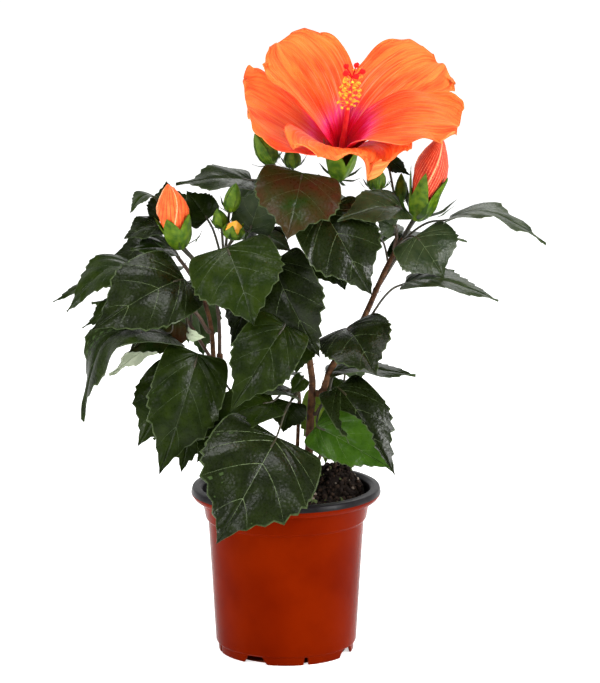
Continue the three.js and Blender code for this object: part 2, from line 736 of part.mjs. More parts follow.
const plant = new THREE.Group();
plant.add(toMesh('pot', potSolid(), FINISHES.pot));
plant.add(toMesh('potting_mix', soilSolid(), FINISHES.soil));

for (const [name, limb] of Object.entries(limbs)) {
  const solid = toSolid(tube(limb.path, (share) => limbRadius(limb, share), LIMB_SIDES));
  plant.add(toMesh(name, solid, FINISHES.bark));
  taken.push(...pathSamples(limb.path));
}
for (const [name, shoot] of Object.entries(SHOOTS)) {
  plant.add(toMesh(name, shootSolid(shoot), shoot.bud ? FINISHES.bud : FINISHES.petal));
}
for (const row of PETALS) {
  taken.push(...PETAL_STATIONS.flatMap((u) => [-0.8, 0, 0.8].map((v) => petalPoint(row, u, v))));
}
for (const [name, mass] of Object.entries(MASSES)) {
  plant.add(toMesh(name, massSolid(mass), FINISHES.leaf));
}
for (const [name, mass] of Object.entries(GROWN)) {
  plant.add(toMesh(name, grownMass(mass), FINISHES.leaf));
}

export default plant;
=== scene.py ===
"""Looks of the potted hibiscus: fine leaves, twigs, bloom, buds, bark, potting mix and pot.

Sizes are in millimetres, in the part's own frame, until a piece is made.
"""

import math

import bpy
import numpy as np
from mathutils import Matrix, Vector


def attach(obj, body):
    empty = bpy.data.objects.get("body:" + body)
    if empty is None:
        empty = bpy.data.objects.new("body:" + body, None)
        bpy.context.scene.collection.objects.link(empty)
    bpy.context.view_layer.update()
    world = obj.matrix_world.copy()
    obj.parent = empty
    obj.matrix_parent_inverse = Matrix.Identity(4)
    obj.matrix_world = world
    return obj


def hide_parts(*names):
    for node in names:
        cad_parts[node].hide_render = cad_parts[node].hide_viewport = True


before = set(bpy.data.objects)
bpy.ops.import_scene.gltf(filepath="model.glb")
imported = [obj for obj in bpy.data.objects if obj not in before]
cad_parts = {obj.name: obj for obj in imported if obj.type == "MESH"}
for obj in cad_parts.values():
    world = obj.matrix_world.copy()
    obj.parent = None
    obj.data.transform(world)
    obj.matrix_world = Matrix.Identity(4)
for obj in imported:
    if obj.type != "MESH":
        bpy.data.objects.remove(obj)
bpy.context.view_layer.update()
MM = 0.001
GOLDEN_ANGLE = 137.5
FULL_TURN = 6.28  # about a full turn, in radians

# ---- vectors and chance


def point(*xyz):
    return np.array(xyz, float)


def unit(vector):
    return vector / np.linalg.norm(vector)


UP = point(0, 0, 1)
FRONT = unit(point(0, -0.98, 0.2))


def turned(vector, axis, degrees):
    """vector turned about a unit axis."""
    angle = math.radians(degrees)
    turned_part = vector * math.cos(angle) + np.cross(axis, vector) * math.sin(angle)
    return turned_part + axis * float(axis @ vector) * (1 - math.cos(angle))


def heading(bearing, rise):
    """The way with a bearing, anticlockwise from +X seen from above, and a rise, in degrees."""
    b, r = math.radians(bearing), math.radians(rise)
    return point(math.cos(b) * math.cos(r), math.sin(b) * math.cos(r), math.sin(r))


def between(pair, share):
    return pair[0] + (pair[1] - pair[0]) * share


def smooth(low, high, x):
    """0 below low, 1 above high, and a smooth step between them."""
    t = np.clip((x - low) / (high - low), 0, 1)
    return t * t * (3 - 2 * t)


def seeded(seed):
    """The part's own generator: the same shares of one from the same seed."""
    state = seed

    def draw():
        nonlocal state
        state = (state * 16807) % 2147483647
        return state / 2147483647

    return draw


def circle(count):
    """Angles spread evenly over a full turn."""
    return np.arange(count) * 2 * math.pi / count


# ---- paths


def rounded(path, times):
    """The path with its corners cut; both ends stay where they are."""
    points = [np.asarray(p, float) for p in path]
    for _ in range(times):
        cut = [points[0]]
        for here, there in zip(points, points[1:]):
            cut.append(here + (there - here) * 0.25)
            cut.append(here + (there - here) * 0.75)
        points = [*cut, points[-1]]
    return points


def along(path, share):
    """The point at a share of the path's length, and the way the path runs there."""
    steps = [float(np.linalg.norm(b - a)) for a, b in zip(path, path[1:])]
    left = share * sum(steps)
    index = 0
    while index < len(steps) - 1 and left > steps[index]:
        left -= steps[index]
        index += 1
    way = unit(path[index + 1] - path[index])
    return path[index] + way * left, way


def path_samples(path, count=25):
    return [along(path, index / (count - 1))[0] for index in range(count)]


# ---- meshes


class Build:
    """Gathers the points and faces of one piece; a face's kind picks its material."""

    def __init__(self):
        self.points, self.faces, self.kinds, self.coords = [], [], [], []
        self.count = 0

    def add(self, points, faces, kind=0, coords=None):
        points = np.asarray(points, float).reshape(-1, 3)
        self.points.append(points)
        self.faces.extend(tuple(int(i) + self.count for i in face) for face in faces)
        self.kinds.extend([kind] * len(faces) if np.isscalar(kind) else list(kind))
        self.coords.append(np.zeros((len(points), 2)) if coords is None else coords.reshape(-1, 2))
        self.count += len(points)

    def grid(self, points, kind=0, closed=False, flip=False, coords=None):
        """Adds a surface over points[row, column]; closed joins its last column to its first."""
        rows, columns = points.shape[:2]
        index = np.arange(rows * columns).reshape(rows, columns)
        right = np.roll(index, -1, 1)
        if not closed:
            index, right = index[:, :-1], right[:, :-1]
        faces = np.stack([index[:-1], right[:-1], right[1:], index[1:]], -1).reshape(-1, 4)
        if flip:
            faces = faces[:, ::-1]
        self.add(points, faces, kind, coords)

    def piece(self, name, looks, slot, replaces, uv=False):
        """Makes the piece, riding on the plant's one body; looks are the names of its materials."""
        mesh = bpy.data.meshes.new(name)
        points = np.concatenate(self.points) * MM
        mesh.from_pydata(points.tolist(), [], self.faces)
        for look in looks:
            mesh.materials.append(materials[look])
        mesh.polygons.foreach_set("material_index", np.array(self.kinds, np.int32))
        mesh.polygons.foreach_set("use_smooth", np.ones(len(self.faces), bool))
        if uv:
            corners = np.zeros(len(mesh.loops), np.int32)
            mesh.loops.foreach_get("vertex_index", corners)
            layer = mesh.uv_layers.new(name="petal")
            layer.uv.foreach_set("vector", np.concatenate(self.coords)[corners].ravel().astype(np.float32))
        mesh.update()
        made = scene_object(name, mesh)
        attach(made, "root")
        if replaces:
            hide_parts(*replaces)
        return made


def scene_object(name, data):
    made = bpy.data.objects.new(name, data)
    bpy.context.scene.collection.objects.link(made)
    return made


def ring(center, radius, angles, across, other):
    """Points round center, in the plane of across and other."""
    return center + np.outer(radius * np.cos(angles), across) + np.outer(radius * np.sin(angles), other)


def rings_along(path, radii, sides, relief=None):
    """Rings of points round a path, one at each of its points."""
    across = None
    rings = []
    for index, center in enumerate(path):
        way = unit(path[min(len(path) - 1, index + 1)] - path[max(0, index - 1)])
        if across is None:
            across = point(1, 0, 0) if abs(way[2]) > 0.9 else UP
        across = unit(across - way * float(across @ way))
        radius = radii[index] * (1 if relief is None else relief[index])
        rings.append(ring(center, radius, circle(sides), across, np.cross(way, across)))
    return np.array(rings)


def add_tube(build, path, radii, sides=8, kind=0, relief=None):
    """A tube along a path that closes to a point at both ends."""
    share = np.linspace(0, 1, len(path))
    widths = np.interp(share, np.linspace(0, 1, len(radii)), radii)
    rings = rings_along(path, widths, sides, relief)
    ends = [np.repeat(end[None, None], sides, 1) for end in (path[0], path[-1])]
    build.grid(np.concatenate([ends[0], rings, ends[1]]), kind, closed=True)


# ---- limbs, as in the part

GAP = 0.3
LIMBS = {
    "stem_main": dict(path=[(15, 0, 103), (16, 0, 151), (18, 0, 185)], radii=(3.1, 2.4), flare=1.6),
    "stem_left": dict(
        path=[(-34, 5, 103), (-38, 3, 146), (-44, 2, 178), (-45, 2, 206)], radii=(2.7, 2.2), flare=1.4
    ),
    "stem_thin": dict(path=[(7, 8, 103), (8, 7, 146), (9, -4, 172)], radii=(1.5, 1.2), flare=1.3),
    "bough_centre": dict(
        start=("stem_main", 1),
        path=[(15, 5, 208), (14, 6, 243), (15, 4, 269), (18, 1, 298)],
        radii=(2.3, 1.5),
    ),
    "bough_right": dict(
        start=("stem_main", 0.93),
        lead=5,
        path=[(30, -2, 198), (40, -2, 210), (52, 0, 228), (66, 3, 262), (79, 5, 285)],
        radii=(2.3, 1.6),
    ),
    "bough_left": dict(
        start=("stem_left", 0.93),
        lead=4,
        path=[(-50, -3, 226), (-56, -5, 247), (-59, -5, 258), (-62, -6, 271)],
        radii=(1.7, 1.4),
    ),
}
FLARE_SHARE = 0.12
limbs = {}


def limb_radius(limb, share):
    foot = max(0.0, 1 - share / FLARE_SHARE)
    return between(limb["radii"], share) * (1 + (limb.get("flare", 1) - 1) * foot * foot)


def start_clear(start, following, lead=2):
    parent_name, share = start
    parent = limbs[parent_name]
    place, way = along(parent["path"], share)
    out, clear = way, GAP
    if share < 1:
        out = following - place
        out = unit(out - way * float(out @ way))
        clear += limb_radius(parent, share)
    return [place + out * distance for distance in (clear, clear + lead)]


def path_from(start, path, lead=2):
    points = [point(*place) for place in path]
    return [*start_clear(start, points[0], lead), *points] if start else points


for limb_name, limb_row in LIMBS.items():
    limb_path = path_from(limb_row.get("start"), limb_row["path"], limb_row.get("lead", 2))
    limbs[limb_name] = dict(limb_row, path=rounded(limb_path, 1))

# ---- leaf shape, as in the part

LOBE = 0.11
CURL = 0.06
PETIOLE_RADII = (1.0, 0.75)
PETIOLE_LIFT = 0.16


def blade_half(u):
    return np.sqrt(u) * (1 - u) ** 0.93 / 0.3963


def frame_facing(facing, share, start, tip, width, turn, arch, fold):
    ahead = tip - start
    length = float(np.linalg.norm(ahead))
    ahead = ahead / length
    normal = turned(unit(facing - ahead * float(facing @ ahead)), ahead, turn)
    leaf = dict(share=share, start=start, length=length, width=width, arch=arch, fold=fold)
    leaf.update(ahead=ahead, side=np.cross(normal, ahead), normal=normal)
    return leaf


def arch_rise(leaf, u):
    return leaf["arch"] * leaf["length"] * 4 * u * (1 - u) * (1 + 0.5 * (1 - 2 * u))


def blade_point(leaf, u, v):
    """The part's own point of a blade: u from base to tip, v from -1 to 1 across."""
    half = leaf["width"] / 2 * blade_half(u)
    back = LOBE * math.sin(math.pi * min(1, u / 0.3)) * abs(v) ** 1.5
    rise = arch_rise(leaf, u) + (leaf["fold"] + 0.1) * half * abs(v) - CURL * 2 * half * v * v
    return (
        leaf["start"]
        + leaf["ahead"] * (leaf["length"] * (u - back))
        + leaf["side"] * (half * v)
        + leaf["normal"] * rise
    )


def petiole_path(stem, leaf):
    root = along(stem, leaf["share"])[0]
    end = blade_point(leaf, 0.12, 0)
    middle = root + (leaf["start"] - root) * 0.55
    middle = middle + UP * (PETIOLE_LIFT * float(np.linalg.norm(root - end)))
    return [root, middle, leaf["start"], end]


# ---- masses, as in the part

MASSES = {}


def add_mass(name, limb, share, stem, *leaves, buds=()):
    """A mass carried by a limb at a share of its length, with the points of its own stem.

    A leaf is its share on the stem, base, tip, width, turn, arch, fold and look; a bud is its share,
    base, tip and radius.
    """
    MASSES[name] = dict(start=(limb, share), stem=stem, leaves=leaves, buds=buds)


add_mass(
    "leaves_left_side", "bough_left", 0.36, [(-60, -13, 238), (-69, -13, 242), (-76, -8, 234)],
    (0.45, (-68, -20, 262), (-129, -48, 232), 56, 20, 0.10, 0.05, "glossy"),
    (0.95, (-77, -16, 222), (-137, -30, 167), 46, 58, 0.38, 0.05, "dark"),
    (0.60, (-73, -2, 232), (-106, -14, 210), 38, 20, 0.08, 0, "maroon"),
    (0.85, (-81, 2, 217), (-120, -2, 192), 34, 110, 0.05, 0, "pale"),
    (0.30, (-99, 12, 263), (-148, -6, 237), 36, 52, 0.22, 0.05, "mid"),
    (0.40, (-118, 16, 252), (-158, 8, 241), 16, 60, 0.12, 0, "dark"),
    (0.55, (-104, -4, 245), (-137, -14, 227), 18, 40, 0.10, 0, "dark"),
    (0.70, (-66, -24, 227), (-54, -26, 223), 10, 40, 0.20, 0, "pale"),
)
add_mass(
    "leaves_left_top", "bough_left", 0.8, [(-68, 4, 266), (-74, 11, 272), (-79, 16, 282), (-81, 16, 292)],
    (0.95, (-78, 18, 296), (-81, 20, 322), 30, 0, 0.05, 0.05, "dark"),
    (0.80, (-88, 12, 312), (-105, 4, 303), 22, 65, 0.25, 0.1, "mid"),
    (0.65, (-86, 6, 293), (-109, 0, 286), 26, 50, 0.10, 0.1, "glossy"),
    (0.45, (-77, 5, 278), (-105, -6, 279), 26, 55, 0.05, 0.1, "mid"),
    (0.35, (-84, 34, 271), (-117, 30, 270), 36, 30, 0.10, 0.1, "glossy"),
)
add_mass(
    "leaves_left_low", "stem_left", 0.75, [(-50, -12, 183), (-55, -14, 188)],
    (0.95, (-59, -26, 212), (-85, -50, 134), 50, -8, 0.06, 0.05, "dark"),
    (0.60, (-68, -10, 196), (-100, -26, 148), 44, 10, 0.08, 0.05, "mid"),
    (0.40, (-58, -8, 179), (-71, -22, 129), 34, 0, 0.05, 0, "dark"),
    (0.60, (-55, 3, 178), (-75, -6, 144), 36, 10, 0.05, 0, "dark"),
    (0.30, (-43, -20, 158), (-60, -34, 139), 24, 0, 0.05, 0, "dark"),
)
add_mass(
    "leaves_centre_left", "stem_left", 1, [(-45, 5, 225), (-47, 4, 243), (-47, 3, 255), (-40, 2, 281)],
    (0.80, (-39, -30, 285), (-21, -56, 237), 62, 0, 0.08, 0.05, "mid"),
    (0.85, (-53, 12, 297), (-67, 10, 317), 26, 20, 0.05, 0, "dark"),
    (0.95, (-24, -4, 292), (-14, -12, 325), 30, 0, 0.05, 0.15, "sheen_grey"),
    (0.75, (-12, -10, 289), (4, -15, 279), 14, -40, 0.05, 0.1, "sheen_grey"),
    buds=[
        (0.97, (-38, -8, 305), (-33, -14, 326), 5.5),
        (0.90, (-43, -8, 294), (-46, -10, 308), 5),
        (0.93, (-36, -16, 288), (-33, -18, 301), 7.2),
    ],
)
add_mass(
    "leaves_centre_mid", "bough_centre", 0.5, [(8, -4, 248), (3, -13, 253)],
    (0.90, (0, -34, 233), (-37, -52, 178), 45, 12, 0.08, 0.1, "dark"),
    (0.50, (9, -8, 220), (7, -16, 196), 26, 10, 0.05, 0, "mid"),
    (0.95, (-9, -18, 273), (23, -38, 211), 50, 15, 0.08, 0.05, "glossy"),
)
add_mass(
    "leaves_centre_top", "bough_centre", 0.93, [(13, -5, 301), (6, -2, 311), (0, 3, 320)],
    (0.60, (11, -24, 334), (1, -48, 293), 58, 0, 0.08, 0.05, "maroon"),
    (0.20, (25, -22, 308), (57, -40, 254), 54, -12, 0.08, 0.05, "glossy"),
    (0.20, (29, -8, 285), (40, -14, 253), 40, 20, 0.05, 0, "dark"),
    (0.30, (18, 14, 308), (37, 8, 313), 16, -60, 0.10, 0, "dark"),
    (0.50, (-1, 6, 285), (-13, 4, 292), 10, 40, 0.20, 0, "dark"),
    (0.97, (-23, 13, 323), (-74, 2, 322), 38, 62, 0.06, 0.05, "dark"),
    buds=[
        (0.98, (-8, 0, 337), (-21, -6, 358), 7),
        (0.95, (5, 4, 333), (3, 2, 348), 5.8),
    ],
)
add_mass(
    "leaves_right_top", "bough_right", 0.93, [(75, -2, 287), (73, 2, 298), (75, 8, 306)],
    (0.60, (78, -9, 308), (34, -38, 304), 30, 38, 0.10, 0.15, "sheen_grey"),
    (0.40, (73, -8, 295), (60, -14, 304), 20, 20, 0.05, 0.05, "sheen_grey"),
    (0.04, (87, -10, 289), (106, -18, 262), 52, -30, 0.06, 0.1, "sheen_grey"),
    (0.04, (110, 6, 297), (175, -8, 284), 42, -74, 0.16, 0.1, "sheen_grey"),
    (0.95, (67, 18, 340), (84, 12, 327), 12, 30, 0.08, 0.1, "dark"),
    buds=[
        (0.95, (77, 10, 308), (78, 11, 329), 4),
        (0.80, (61, 0, 318), (60, 0, 336), 6.4),
    ],
)
add_mass(
    "leaves_right_side", "bough_right", 0.45, [(52, -9, 226), (56, -13, 233)],
    (0.90, (80, -16, 258), (142, -28, 248), 38, -68, 0.10, 0.1, "sheen_grey"),
    (0.60, (41, -14, 227), (60, -54, 203), 50, -8, 0.10, 0.1, "glossy"),
)
add_mass(
    "leaves_right_low", "stem_main", 0.76, [(24, -5, 172), (30, -4, 177)],
    (0.90, (33, 4, 193), (88, -6, 192), 34, -72, 0.06, 0.1, "mid"),
    (0.80, (35, -6, 185), (74, -28, 128), 42, -28, 0.08, 0.1, "glossy"),
    (0.60, (30, 10, 178), (27, 4, 129), 38, 175, 0.04, 0, "thin"),
    (0.60, (20, -24, 161), (70, -40, 136), 36, -22, 0.08, 0.15, "bright"),
)
add_mass(
    "leaves_centre_low", "stem_thin", 1, [(9, -9, 181), (7, -12, 187)],
    (0.90, (7, -10, 179), (-24, -18, 185), 26, 72, 0.08, 0.1, "mid"),
    (0.70, (3, -4, 174), (-2, -10, 154), 26, 10, 0.05, 0, "dark"),
    (0.95, (12, -14, 193), (3, -20, 183), 12, 0, 0.10, 0, "mid"),
    (0.80, (-8, -22, 178), (-64, -36, 154), 40, 45, 0.08, 0.1, "mid"),
    (0.60, (-6, -42, 158), (-46, -84, 96), 80, 4, 0.10, 0.05, "glossy"),
)
# A grown mass: limb and share, middle, reach from the middle, number of leaves, seed.
GROWN = {
    "leaves_back_left": (("stem_left", 0.9), (-80, 50, 240), (62, 62, 62), 10, 71),
    "leaves_back_low": (("stem_left", 0.4), (-36, 50, 166), (70, 62, 50), 10, 29),
    "leaves_back_mid": (("bough_centre", 0.25), (-12, 60, 230), (54, 66, 66), 11, 5),
    "leaves_back_right_low": (("stem_main", 0.2), (42, 48, 172), (38, 60, 56), 8, 13),
    "leaves_back_right": (("bough_right", 0.7), (82, 48, 274), (60, 60, 46), 10, 47),
    "leaves_back_top": (("bough_centre", 0.8), (6, 46, 298), (66, 58, 44), 10, 83),
}
GROWN_LOOKS = ("dark", "mid", "glossy", "dark", "mid")
SHOOTS = {
    "bloom_shoot": dict(start=("bough_centre", 1), stem=[(24, 1, 309), (31, 1, 318), (35.6, 0, 327)]),
    "bud_shoot_left": dict(start=("bough_left", 1), stem=[(-66, -7, 277), (-71, -9, 283)]),
    "bud_shoot_right": dict(start=("bough_right", 1), stem=[(83, 1, 293), (88, -4, 302)]),
}
LARGE_BUDS = {
    "bud_shoot_left": dict(
        base=(-71, -9, 281), tip=(-79, -12, 325), radius=11.3, calyx=(0.33, 0.54), bracts=12,
        turns=0.7, folds=6, sway=0.5, petals=("bud_orange", "bud_orange_fold"),
    ),
    "bud_shoot_right": dict(
        base=(88, -4, 300), tip=(104, -10, 357), radius=12, calyx=(0.26, 0.6), bracts=26,
        turns=0.5, folds=11, sway=0.15, petals=("bud_red", "bud_red_vein"),
    ),
}
TRIES = 80
CLEARANCE = 7
SAMPLES_ALONG = (0.08, 0.25, 0.42, 0.6, 0.8, 1)
SAMPLES_ACROSS = (-0.85, -0.4, 0, 0.4, 0.85)

# ---- bloom shape, as in the part

THROAT = point(37, -12, 346)
BLOOM_AXIS = unit(point(0.1, -0.55, 0.83))
CALYX_BASE = point(35.6, 0, 326)
CLAW = 3.2
COLUMN_LENGTH = 68
COLUMN_RADII = (2.4, 1.5)
# A petal row: bearing, length, width, rise at root and tip, waves, sag of a lobe, lean of the tip.
PETALS = [
    (2, 60, 84, 62, 16, 2.6, 14, 3),
    (72, 105, 55, 70, 9, 3.4, 0, -10),
    (133, 94, 60, 68, -1, 3.7, 0, -5),
    (-127, 89, 63, 73, 30, 4, 0, 9),
    (-83, 70, 74, 29, 14, 1.2, 0, -23),
]
PETAL_STATIONS = (0.1, 0.32, 0.56, 0.78, 0.93)
SAG_AT = 0.62
SAG_WIDTH = 0.15


def petal_half(u):
    return u**0.65 * np.sqrt(1 - u**6) / 0.752


def bloom_frame(bearing):
    front = unit(point(0, -1, 0) + BLOOM_AXIS * BLOOM_AXIS[1])
    out = turned(front, BLOOM_AXIS, bearing)
    return out, np.cross(BLOOM_AXIS, out)


def petal_points(row, u, v, extra=0.0):
    """Points of a petal for arrays u, from claw to margin, and v, from -1 to 1 across."""
    bearing, length, width, rise_root, rise_tip, wave, sag, lean = row
    out, side = bloom_frame(bearing)
    turn, root = math.radians(bearing), math.radians(rise_root)
    bend = math.radians(rise_tip - rise_root)
    slope = root + bend * u
    reach = CLAW + length * (np.sin(slope) - math.sin(root)) / bend
    height = length * (math.cos(root) - np.cos(slope)) / bend
    half = width / 2 * petal_half(u)
    cup = half * half * v * v * np.sin(np.maximum(0, slope)) / (2 * np.maximum(reach, half))
    ruffle = wave * v * v * u * u * np.sin(9 * u + 2.4 * v + turn * 2)
    ruffle = ruffle + wave * 0.5 * u**6 * np.cos(7 * v + turn)
    droop = sag * np.exp(-(((v - SAG_AT) / SAG_WIDTH) ** 2)) * u**3
    rise = cup + ruffle + 1.6 * v - droop + extra
    return (
        THROAT
        + (reach - np.sin(slope) * rise)[..., None] * out
        + (height + np.cos(slope) * rise)[..., None] * BLOOM_AXIS
        + (half * v + lean * u * u)[..., None] * side
    )


# ---- where each leaf goes

taken = []


def blade_samples(leaf):
    return [blade_point(leaf, u, v) for u in SAMPLES_ALONG for v in SAMPLES_ACROSS]


def has_room(points):
    others = np.array(taken)
    return all(float(np.min(np.sum((others - p) ** 2, 1))) > CLEARANCE**2 for p in points)


def grown_frame(path, share, bearing, random):
    root = along(path, share)[0]
    size = 1 - 0.3 * share
    toward = bearing + 120 * (random() - 0.5)
    rise = 20 + 30 * random()
    start = root + heading(toward, rise) * (14 + 12 * random())
    length = size * (64 + 24 * random())
    swing = toward + 40 * (random() - 0.5)
    ahead = heading(swing, 10 - 75 * random())
    width = length * (0.6 + 0.12 * random())
    turn = 40 * (random() - 0.5)
    arch = 0.06 + 0.1 * random()
    fold = 0.04 + 0.06 * random()
    return frame_facing(UP, share, start, start + ahead * length, width, turn, arch, fold)


def grown_mass(row):
    start, middle, size, count, seed = row
    random = seeded(seed)
    middle, size = point(*middle), point(*size)
    path = rounded([*start_clear(start, middle), middle], 1)
    bearing = 360 * random()
    leaves = []
    for index in range(count):
        share = 0.35 + 0.65 * index / (count - 1)
        for _ in range(TRIES):
            leaf = grown_frame(path, share, bearing + GOLDEN_ANGLE * index, random)
            points = blade_samples(leaf)
            fits = all(float(np.linalg.norm((p - middle) / size)) < 1 for p in points)
            if fits and has_room(points):
                leaves.append(dict(leaf, look=GROWN_LOOKS[index % len(GROWN_LOOKS)]))
                taken.extend(points)
                break
    taken.extend(path_samples(path))
    return dict(path=path, leaves=leaves, buds=[])


def placed_mass(row):
    path = rounded(path_from(row["start"], row["stem"]), 1)
    leaves = []
    for share, base, tip, width, turn, arch, fold, look in row["leaves"]:
        leaf = frame_facing(FRONT, share, point(*base), point(*tip), width, turn, arch, fold)
        leaves.append(dict(leaf, look=look))
        taken.extend(blade_samples(leaf))
    taken.extend(path_samples(path))
    return dict(path=path, leaves=leaves, buds=row["buds"])


for limb in limbs.values():
    taken.extend(path_samples(limb["path"]))
for petal_row in PETALS:
    for station in PETAL_STATIONS:
        taken.extend(petal_points(petal_row, np.full(3, station), np.array([-0.8, 0, 0.8])))
masses = {name: placed_mass(row) for name, row in MASSES.items()}
masses.update({name: grown_mass(row) for name, row in GROWN.items()})

# ---- materials

materials = {}
QUILT_CELL = 2.4
QUILT_DEPTH = 0.16
NOISE_MIDDLE = (0.3, 0.7)  # nearly all of the noise lies between these
# A surface row: dark and light colour, size of its patches, roughness, size and depth of its bumps, gloss.
SURFACES = dict(
    # leaf_margin is a painted highlight: a lighter strip along each leaf's rim that stands in for the glint
    # on its glossy edge.
    leaf_margin=((0.016, 0.028, 0.006), (0.045, 0.065, 0.020), 3, (0.3, 0.45), 0.6, 0.05, 0.2),
    vein_pale=((0.060, 0.092, 0.030), (0.105, 0.145, 0.052), 4, (0.4, 0.5), 0.6, 0.03),
    vein_dim=((0.026, 0.044, 0.010), (0.044, 0.068, 0.018), 4, (0.4, 0.5), 0.6, 0.03),
    twig_bark=((0.028, 0.013, 0.007), (0.075, 0.035, 0.016), 5, (0.5, 0.7), 0.7, 0.25),
    leaf_stalk=((0.016, 0.014, 0.005), (0.042, 0.034, 0.012), 6, (0.4, 0.6), 0.5, 0.08),
    bark=((0.030, 0.012, 0.005), (0.120, 0.052, 0.020), 4.5, (0.5, 0.7), 0.8, 0.3, 0.15),
    calyx_green=((0.030, 0.080, 0.001), (0.095, 0.16, 0.004), 4, (0.4, 0.55), 0.5, 0.06, 0.2),
    bract_green=((0.010, 0.028, 0.002), (0.026, 0.054, 0.004), 4, (0.45, 0.6), 0.5, 0.05, 0.2),
    bud_edge_cream=((0.80, 0.28, 0.12), (0.88, 0.40, 0.20), 3, (0.5, 0.6), 0.6, 0.06, 0.2),
    bud_orange=((0.66, 0.085, 0.012), (0.80, 0.15, 0.028), 5, (0.45, 0.6), 0.7, 0.12, 0.2),
    bud_orange_fold=((0.56, 0.036, 0.008), (0.68, 0.06, 0.012), 3, (0.5, 0.6), 0.7, 0.12, 0.2),
    bud_red=((0.40, 0.022, 0.008), (0.54, 0.044, 0.016), 5, (0.45, 0.6), 0.7, 0.12, 0.2),
    bud_red_vein=((0.62, 0.12, 0.055), (0.74, 0.19, 0.095), 3, (0.5, 0.6), 0.7, 0.12, 0.2),
    bud_gold=((0.72, 0.30, 0.02), (0.80, 0.42, 0.05), 3, (0.5, 0.6), 0.6, 0.06, 0.2),
    column_pink=((0.66, 0.02, 0.035), (0.80, 0.08, 0.05), 12, (0.4, 0.5), 0.7, 0.05, 0.2),
    anther_yellow=((0.80, 0.24, 0.005), (0.92, 0.48, 0.02), 1.2, (0.6, 0.8), 0.3, 0.15),
    stigma_red=((0.46, 0.0, 0.002), (0.74, 0.006, 0.006), 1, (0.6, 0.8), 0.3, 0.15, 0.2),
    soil_dark=((0.006, 0.003, 0.002), (0.016, 0.009, 0.006), 2.2, (0.8, 0.95), 0.7, 0.4, 0.2),
    soil_brown=((0.012, 0.006, 0.004), (0.040, 0.022, 0.013), 2, (0.8, 0.95), 0.7, 0.4, 0.2),
    soil_fleck=((0.16, 0.12, 0.09), (0.34, 0.28, 0.22), 1.5, (0.7, 0.9), 0.5, 0.3),
    soil_moss=((0.05, 0.075, 0.015), (0.10, 0.13, 0.03), 1.5, (0.7, 0.9), 0.5, 0.3),
    pot_black=((0.006, 0.005, 0.006), (0.013, 0.012, 0.013), 12, (0.3, 0.42), 1.5, 0.03, 0.08),
    shade=((0.30, 0.07, 0.03), (0.34, 0.09, 0.04), 9, (0.8, 0.9), 2, 0.01, 0.2),
)
# A leaf's look: dark and light colour, roughness, gloss, size of its patches.
LEAF_LOOKS = dict(
    dark=((0.0055, 0.0105, 0.0011), (0.0115, 0.020, 0.002)),
    mid=((0.0075, 0.0155, 0.0011), (0.015, 0.026, 0.0022), (0.24, 0.38), 0.09),
    bright=((0.014, 0.040, 0.002), (0.027, 0.066, 0.004)),
    maroon=((0.040, 0.013, 0.005), (0.012, 0.026, 0.003), (0.24, 0.38), 0.12, 22),
    glossy=((0.0045, 0.0075, 0.0012), (0.009, 0.0145, 0.0024), (0.23, 0.35), 0.13),
    # This look is painted sheen: a lighter, greyer base for upper leaves that stands in for the white sheen
    # they catch from above.
    sheen_grey=((0.014, 0.024, 0.008), (0.027, 0.039, 0.014), (0.26, 0.4), 0.11),
    thin=((0.045, 0.085, 0.008), (0.07, 0.12, 0.012)),
    pale=((0.36, 0.42, 0.28), (0.50, 0.55, 0.40), (0.5, 0.6), 0.1),
    under=((0.022, 0.042, 0.010), (0.036, 0.060, 0.016), (0.5, 0.65), 0.1),
    under_thin=((0.14, 0.22, 0.02), (0.20, 0.30, 0.03), (0.5, 0.6), 0.1),
)


def set_inputs(tree, node, inputs):
    """Gives each input a fixed value, or a link from another node's output."""
    for name, value in inputs.items():
        if isinstance(value, bpy.types.NodeSocket):
            tree.links.new(value, node.inputs[name])
        else:
            node.inputs[name].default_value = value


def from_node(tree, kind, output, inputs, **settings):
    """The named output of a new node with these inputs and settings."""
    node = tree.nodes.new("ShaderNode" + kind)
    for name, value in settings.items():
        setattr(node, name, value)
    set_inputs(tree, node, inputs)
    return node.outputs[output]


def coordinates(tree, kind="Object"):
    return from_node(tree, "TexCoord", kind, {})


def noise(tree, scale, detail, vector, distortion=0):
    inputs = dict(Scale=scale, Detail=detail, Distortion=distortion, Vector=vector)
    return from_node(tree, "TexNoise", "Fac", inputs)


def ramp(tree, source, stops):
    """Colours blended from stop to stop, each a share and its colour."""
    node = tree.nodes.new("ShaderNodeValToRGB")
    elements = node.color_ramp.elements
    while len(elements) < len(stops):
        elements.new(0.5)
    for element, (place, color) in zip(elements, stops):
        element.position = place
        element.color = (*color, 1)
    tree.links.new(source, node.inputs["Fac"])
    return node.outputs["Color"]


def ranged(tree, source, span, result, **settings):
    """The source with its span of values spread over result."""
    limits = zip(("From Min", "From Max", "To Min", "To Max"), (*span, *result))
    inputs = dict(limits, Value=source)
    return from_node(tree, "MapRange", "Result", inputs, **settings)


def material(name):
    """Makes a material; gives its node tree and shader."""
    made = bpy.data.materials.new(name)
    made.use_nodes = True
    materials[name] = made
    return made.node_tree, made.node_tree.nodes["Principled BSDF"]


def quilting(tree):
    """A leaf face's normal, pillowed between its fine veins."""
    cells = dict(Scale=1 / (QUILT_CELL * MM), Vector=coordinates(tree))
    pillows = dict(Height=from_node(tree, "TexVoronoi", "Distance", cells), Distance=QUILT_DEPTH * MM)
    return from_node(tree, "Bump", "Normal", pillows, invert=True)


